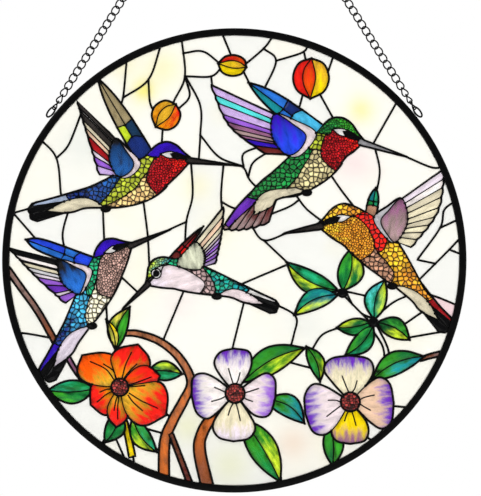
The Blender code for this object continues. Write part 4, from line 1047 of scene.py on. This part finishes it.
places, edges, thin_edges, index = [], [], [], {}
for side, pair in sides.items():
    if len(pair) == 2 and panes[pair[0]] != panes[pair[1]]:
        for place in side:
            if place not in index:
                index[place] = len(places)
                places.append(points[place])
        edges.append(tuple(index[place] for place in side))
        thin_edges.append(figure_of(pair[0]) == figure_of(pair[1]) != "ground")
for crease in creases:
    line = run(*crease) + [crease[-1]]
    edges += [(place, place + 1) for place in range(len(places), len(places) + len(line) - 1)]
    places += line
    thin_edges += [True] * (len(line) - 1)
mesh = bpy.data.meshes.new("lead_lines")
mesh.from_pydata([(place.x * to_metres, place.y * to_metres, 0.0) for place in places], edges, [])
mesh.attributes.new("thin", "BOOLEAN", "EDGE").data.foreach_set("value", thin_edges)
lead_lines = show("lead_lines", mesh)
grow(lead_lines, lead_tree, wide_half=WIDE_HALF, thin_half=THIN_HALF, half_depth=LEAD_HALF_DEPTH,
     metal=black_metal)
lead_lines.data.transform(Matrix.Translation(disc_centre))
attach(lead_lines, "root")
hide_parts("leading")

# Channel frame: a black metal channel, open inwards, bent round the disc to hold the edge of the glass.
# Its section has rounded lips and is turned round the disc's axis.

FRAME_FACE = 0.0047
FRAME_SIDES = 192
LIP_ROUNDING = 0.0009
LIP_STEPS = 4
half_depth = (ring_high.y - ring_low.y) / 2


def ringed_mesh(name, rings):
    """Return a smooth black mesh that joins rings of places, each to the next and the last to the first."""
    body = bmesh.new()
    rings = [[body.verts.new(place) for place in ring] for ring in rings]
    for here, there in zip(rings, rings[1:] + rings[:1]):
        for place in range(len(here)):
            after = (place + 1) % len(here)
            body.faces.new((here[place], here[after], there[after], there[place])).smooth = True
    bmesh.ops.recalc_face_normals(body, faces=body.faces[:])
    mesh = bpy.data.meshes.new(name)
    body.to_mesh(mesh)
    body.free()
    mesh.materials.append(black_metal)
    return mesh


section = []
for radius, outward, forward, start in ((disc_radius, 1, 1, 0), (disc_radius - FRAME_FACE, -1, 1, 90),
                                        (disc_radius - FRAME_FACE, -1, -1, 180), (disc_radius, 1, -1, 270)):
    for step in range(LIP_STEPS + 1):
        angle = math.radians(start + step * 90 / LIP_STEPS)
        section.append((radius - outward * LIP_ROUNDING + LIP_ROUNDING * math.cos(angle),
                        forward * (half_depth - LIP_ROUNDING) + LIP_ROUNDING * math.sin(angle)))
channel_frame = show("channel_frame", ringed_mesh("channel_frame", [
    [(radius * math.cos(angle), depth, radius * math.sin(angle) + disc_centre.z) for radius, depth in section]
    for angle in (2 * math.pi * side / FRAME_SIDES for side in range(FRAME_SIDES))]))
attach(channel_frame, "root")
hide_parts("frame_ring")

# Chain: two strands of twisted curb links in black steel wire, and a plain middle link that they hang from.
# The links next to the eyelets and the middle link are turned, so that they pass through them.

LINK_WIRE = 0.00095
LINK_WIDTH = 0.0055
LINK_LENGTH = 0.0072
LINK_TWIST = 0.0017
LINK_PITCH = 0.0052
END_INSET = LINK_WIDTH * 0.275
END_TURN = math.radians(80.0)
TURNED_LINKS = 4


def wire_link(name, length, width, wire, twist, stations, around):
    """Return a mesh of one closed wire link along X in the XZ plane, its ends twisted out of the plane."""
    half_length, half_width = (length - wire) / 2, (width - wire) / 2
    path = [Vector((half_length * math.cos(t), -twist / 2 * math.sin(2 * t), half_width * math.sin(t)))
            for t in (2 * math.pi * station / stations for station in range(stations))]
    rings = []
    for before, centre, after in zip(path[-1:] + path[:-1], path, path[1:] + path[:1]):
        along = (after - before).normalized()
        inward = (-centre + along * centre.dot(along)).normalized()
        beside = along.cross(inward)
        rings.append([centre + (inward * math.cos(a) + beside * math.sin(a)) * wire / 2
                      for a in (2 * math.pi * side / around for side in range(around))])
    return ringed_mesh(name, rings)


link_pattern = bpy.data.objects.new("link_pattern", wire_link("curb_link", LINK_LENGTH, LINK_WIDTH, LINK_WIRE,
                                                              LINK_TWIST, 20, 8))
strand_tree, given = new_tree("strand", Link="Object", Way="Vector", Metal="Material")
pattern = node(strand_tree, "GeometryNodeObjectInfo", given["Link"]).outputs["Geometry"]
stations = node(strand_tree, "GeometryNodeMeshToPoints", given["Geometry"])
lined_up = node(strand_tree, "FunctionNodeAlignRotationToVector", Vector=given["Way"], axis="X",
                pivot_axis="Y")
turn = node(strand_tree, "GeometryNodeInputNamedAttribute", data_type="FLOAT", Name="turn")
around_wire = node(strand_tree, "FunctionNodeAxisAngleToRotation", (1.0, 0.0, 0.0), turn)
turned = node(strand_tree, "FunctionNodeRotateRotation", lined_up, around_wire, rotation_space="LOCAL")
placed = node(strand_tree, "GeometryNodeInstanceOnPoints", stations, Instance=pattern, Rotation=turned)
close_tree(strand_tree, placed, given["Metal"])

for side, name in ((1, "chain_right"), (-1, "chain_left")):
    low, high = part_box(name)
    top = Vector(((low.x if side > 0 else high.x), 0.0, high.z))
    bottom = Vector(((high.x if side > 0 else low.x), 0.0, low.z))
    way = (bottom - top).normalized()
    top += Vector((side * END_INSET, 0.0, -END_INSET))
    bottom -= Vector((side * END_INSET, 0.0, -END_INSET))
    count = math.ceil((bottom - top).length / LINK_PITCH)
    step = (bottom - top) / count
    mesh = bpy.data.meshes.new(name + "_links")
    mesh.from_pydata([top + step * (number + 0.5) for number in range(count)], [], [])
    near_end = [max(0.0, 1.0 - number / TURNED_LINKS) for number in range(count)]
    turns = [END_TURN * (upper - lower) for upper, lower in zip(near_end, reversed(near_end))]
    mesh.attributes.new("turn", "FLOAT", "POINT").data.foreach_set("value", turns)
    strand = show(name + "_links", mesh)
    grow(strand, strand_tree, link=link_pattern, way=way, metal=black_metal)
    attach(strand, "root")
    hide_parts(name)

low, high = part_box("hanging_link")
middle = wire_link("middle_link", high.x - low.x, high.z - low.z, LINK_WIRE, 0.0, 28, 10)
middle.transform(Matrix.Translation((low + high) / 2))
middle_link = show("middle_link", middle)
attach(middle_link, "root")
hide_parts("hanging_link")

# Eyelets: an oval of black steel wire at each side, soldered to the frame's outer edge. The chain's last
# link passes through it.

EYELET_WIRE = 0.0012
EYELET_LENGTH = 0.0090
EYELET_WIDTH = 0.0046
for name in ("eyelet_right", "eyelet_left"):
    low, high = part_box(name)
    wire = wire_link(name + "_wire", EYELET_LENGTH, EYELET_WIDTH, EYELET_WIRE, 0.0, 28, 10)
    centre = (low + high) / 2
    outward = math.atan2(centre.z - disc_centre.z, centre.x)
    wire.transform(Matrix.Translation(centre) @ Matrix.Rotation(-math.pi / 2 - outward, 4, "Y"))
    eyelet = show(name + "_wire", wire)
    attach(eyelet, "root")
    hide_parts(name)

# Stage: a pale floor below the panel, two soft lamps in front, a sky that is white behind the panel and
# greyer in front of it, and a long lens straight in front. The camera always sees the sky white.

FLOOR_DROP = 0.34
FLOOR_RADIUS = 1.3
LAMPS = (("key", (-0.9, -1.4, 0.5), 5.0), ("fill", (1.1, -1.2, 0.0), 2.5))
LAMP_SIZE = 0.9
PHOTO_WIDTH = 481
PHOTO_HEIGHT = 496
DISC_IN_PHOTO = (234.3, 260.4)
DISC_RADIUS_IN_PHOTO = 231.9
CAMERA_DISTANCE = 1.6
SENSOR = 36.0

body = bmesh.new()
bmesh.ops.create_circle(body, cap_ends=True, segments=96, radius=FLOOR_RADIUS)
bmesh.ops.translate(body, verts=body.verts[:], vec=(0.0, 0.0, disc_centre.z - FLOOR_DROP))
mesh = bpy.data.meshes.new("floor")
body.to_mesh(mesh)
body.free()
floor_paint = bpy.data.materials.new("floor_paint")
floor_paint.use_nodes = True
fill(floor_paint.node_tree.nodes["Principled BSDF"], Base_Color=(0.82, 0.82, 0.81, 1.0), Roughness=0.7)
mesh.materials.append(floor_paint)
stage = [show("floor", mesh)]
for name, place, power in LAMPS:
    lamp = bpy.data.lights.new(name, "AREA")
    lamp.energy = power
    lamp.size = LAMP_SIZE
    light = show(name, lamp)
    light.location = place
    light.rotation_euler = (disc_centre - Vector(place)).to_track_quat("-Z", "Y").to_euler()
    stage.append(light)

world = bpy.data.worlds.new("white_sky")
world.use_nodes = True
tree = world.node_tree
direction = node(tree, "ShaderNodeSeparateXYZ", node(tree, "ShaderNodeTexCoord").outputs["Generated"]).outputs
sky = ramp(tree, direction["Y"], -0.5, 0.4, 0.12, 1.35, "LINEAR")
seen = node(tree, "ShaderNodeMix", node(tree, "ShaderNodeLightPath").outputs["Is Camera Ray"], sky, 1.0,
            data_type="FLOAT")
fill(tree.nodes["Background"], (1.0, 1.0, 1.0, 1.0), seen)
bpy.context.scene.world = world
bpy.context.scene.view_settings.view_transform = "Standard"

pixel = disc_radius / DISC_RADIUS_IN_PHOTO
aim = disc_centre + Vector(((PHOTO_WIDTH / 2 - DISC_IN_PHOTO[0]) * pixel, 0.0,
                            (DISC_IN_PHOTO[1] - PHOTO_HEIGHT / 2) * pixel))
lens = bpy.data.cameras.new("camera")
lens.sensor_width = SENSOR
lens.lens = SENSOR * CAMERA_DISTANCE / (PHOTO_HEIGHT * pixel)
lens.clip_start = 0.05
camera = show("camera", lens)
camera.location = aim + Vector((0.0, -CAMERA_DISTANCE, 0.0))
camera.rotation_euler = (math.pi / 2, 0.0, 0.0)
bpy.context.scene.camera = camera
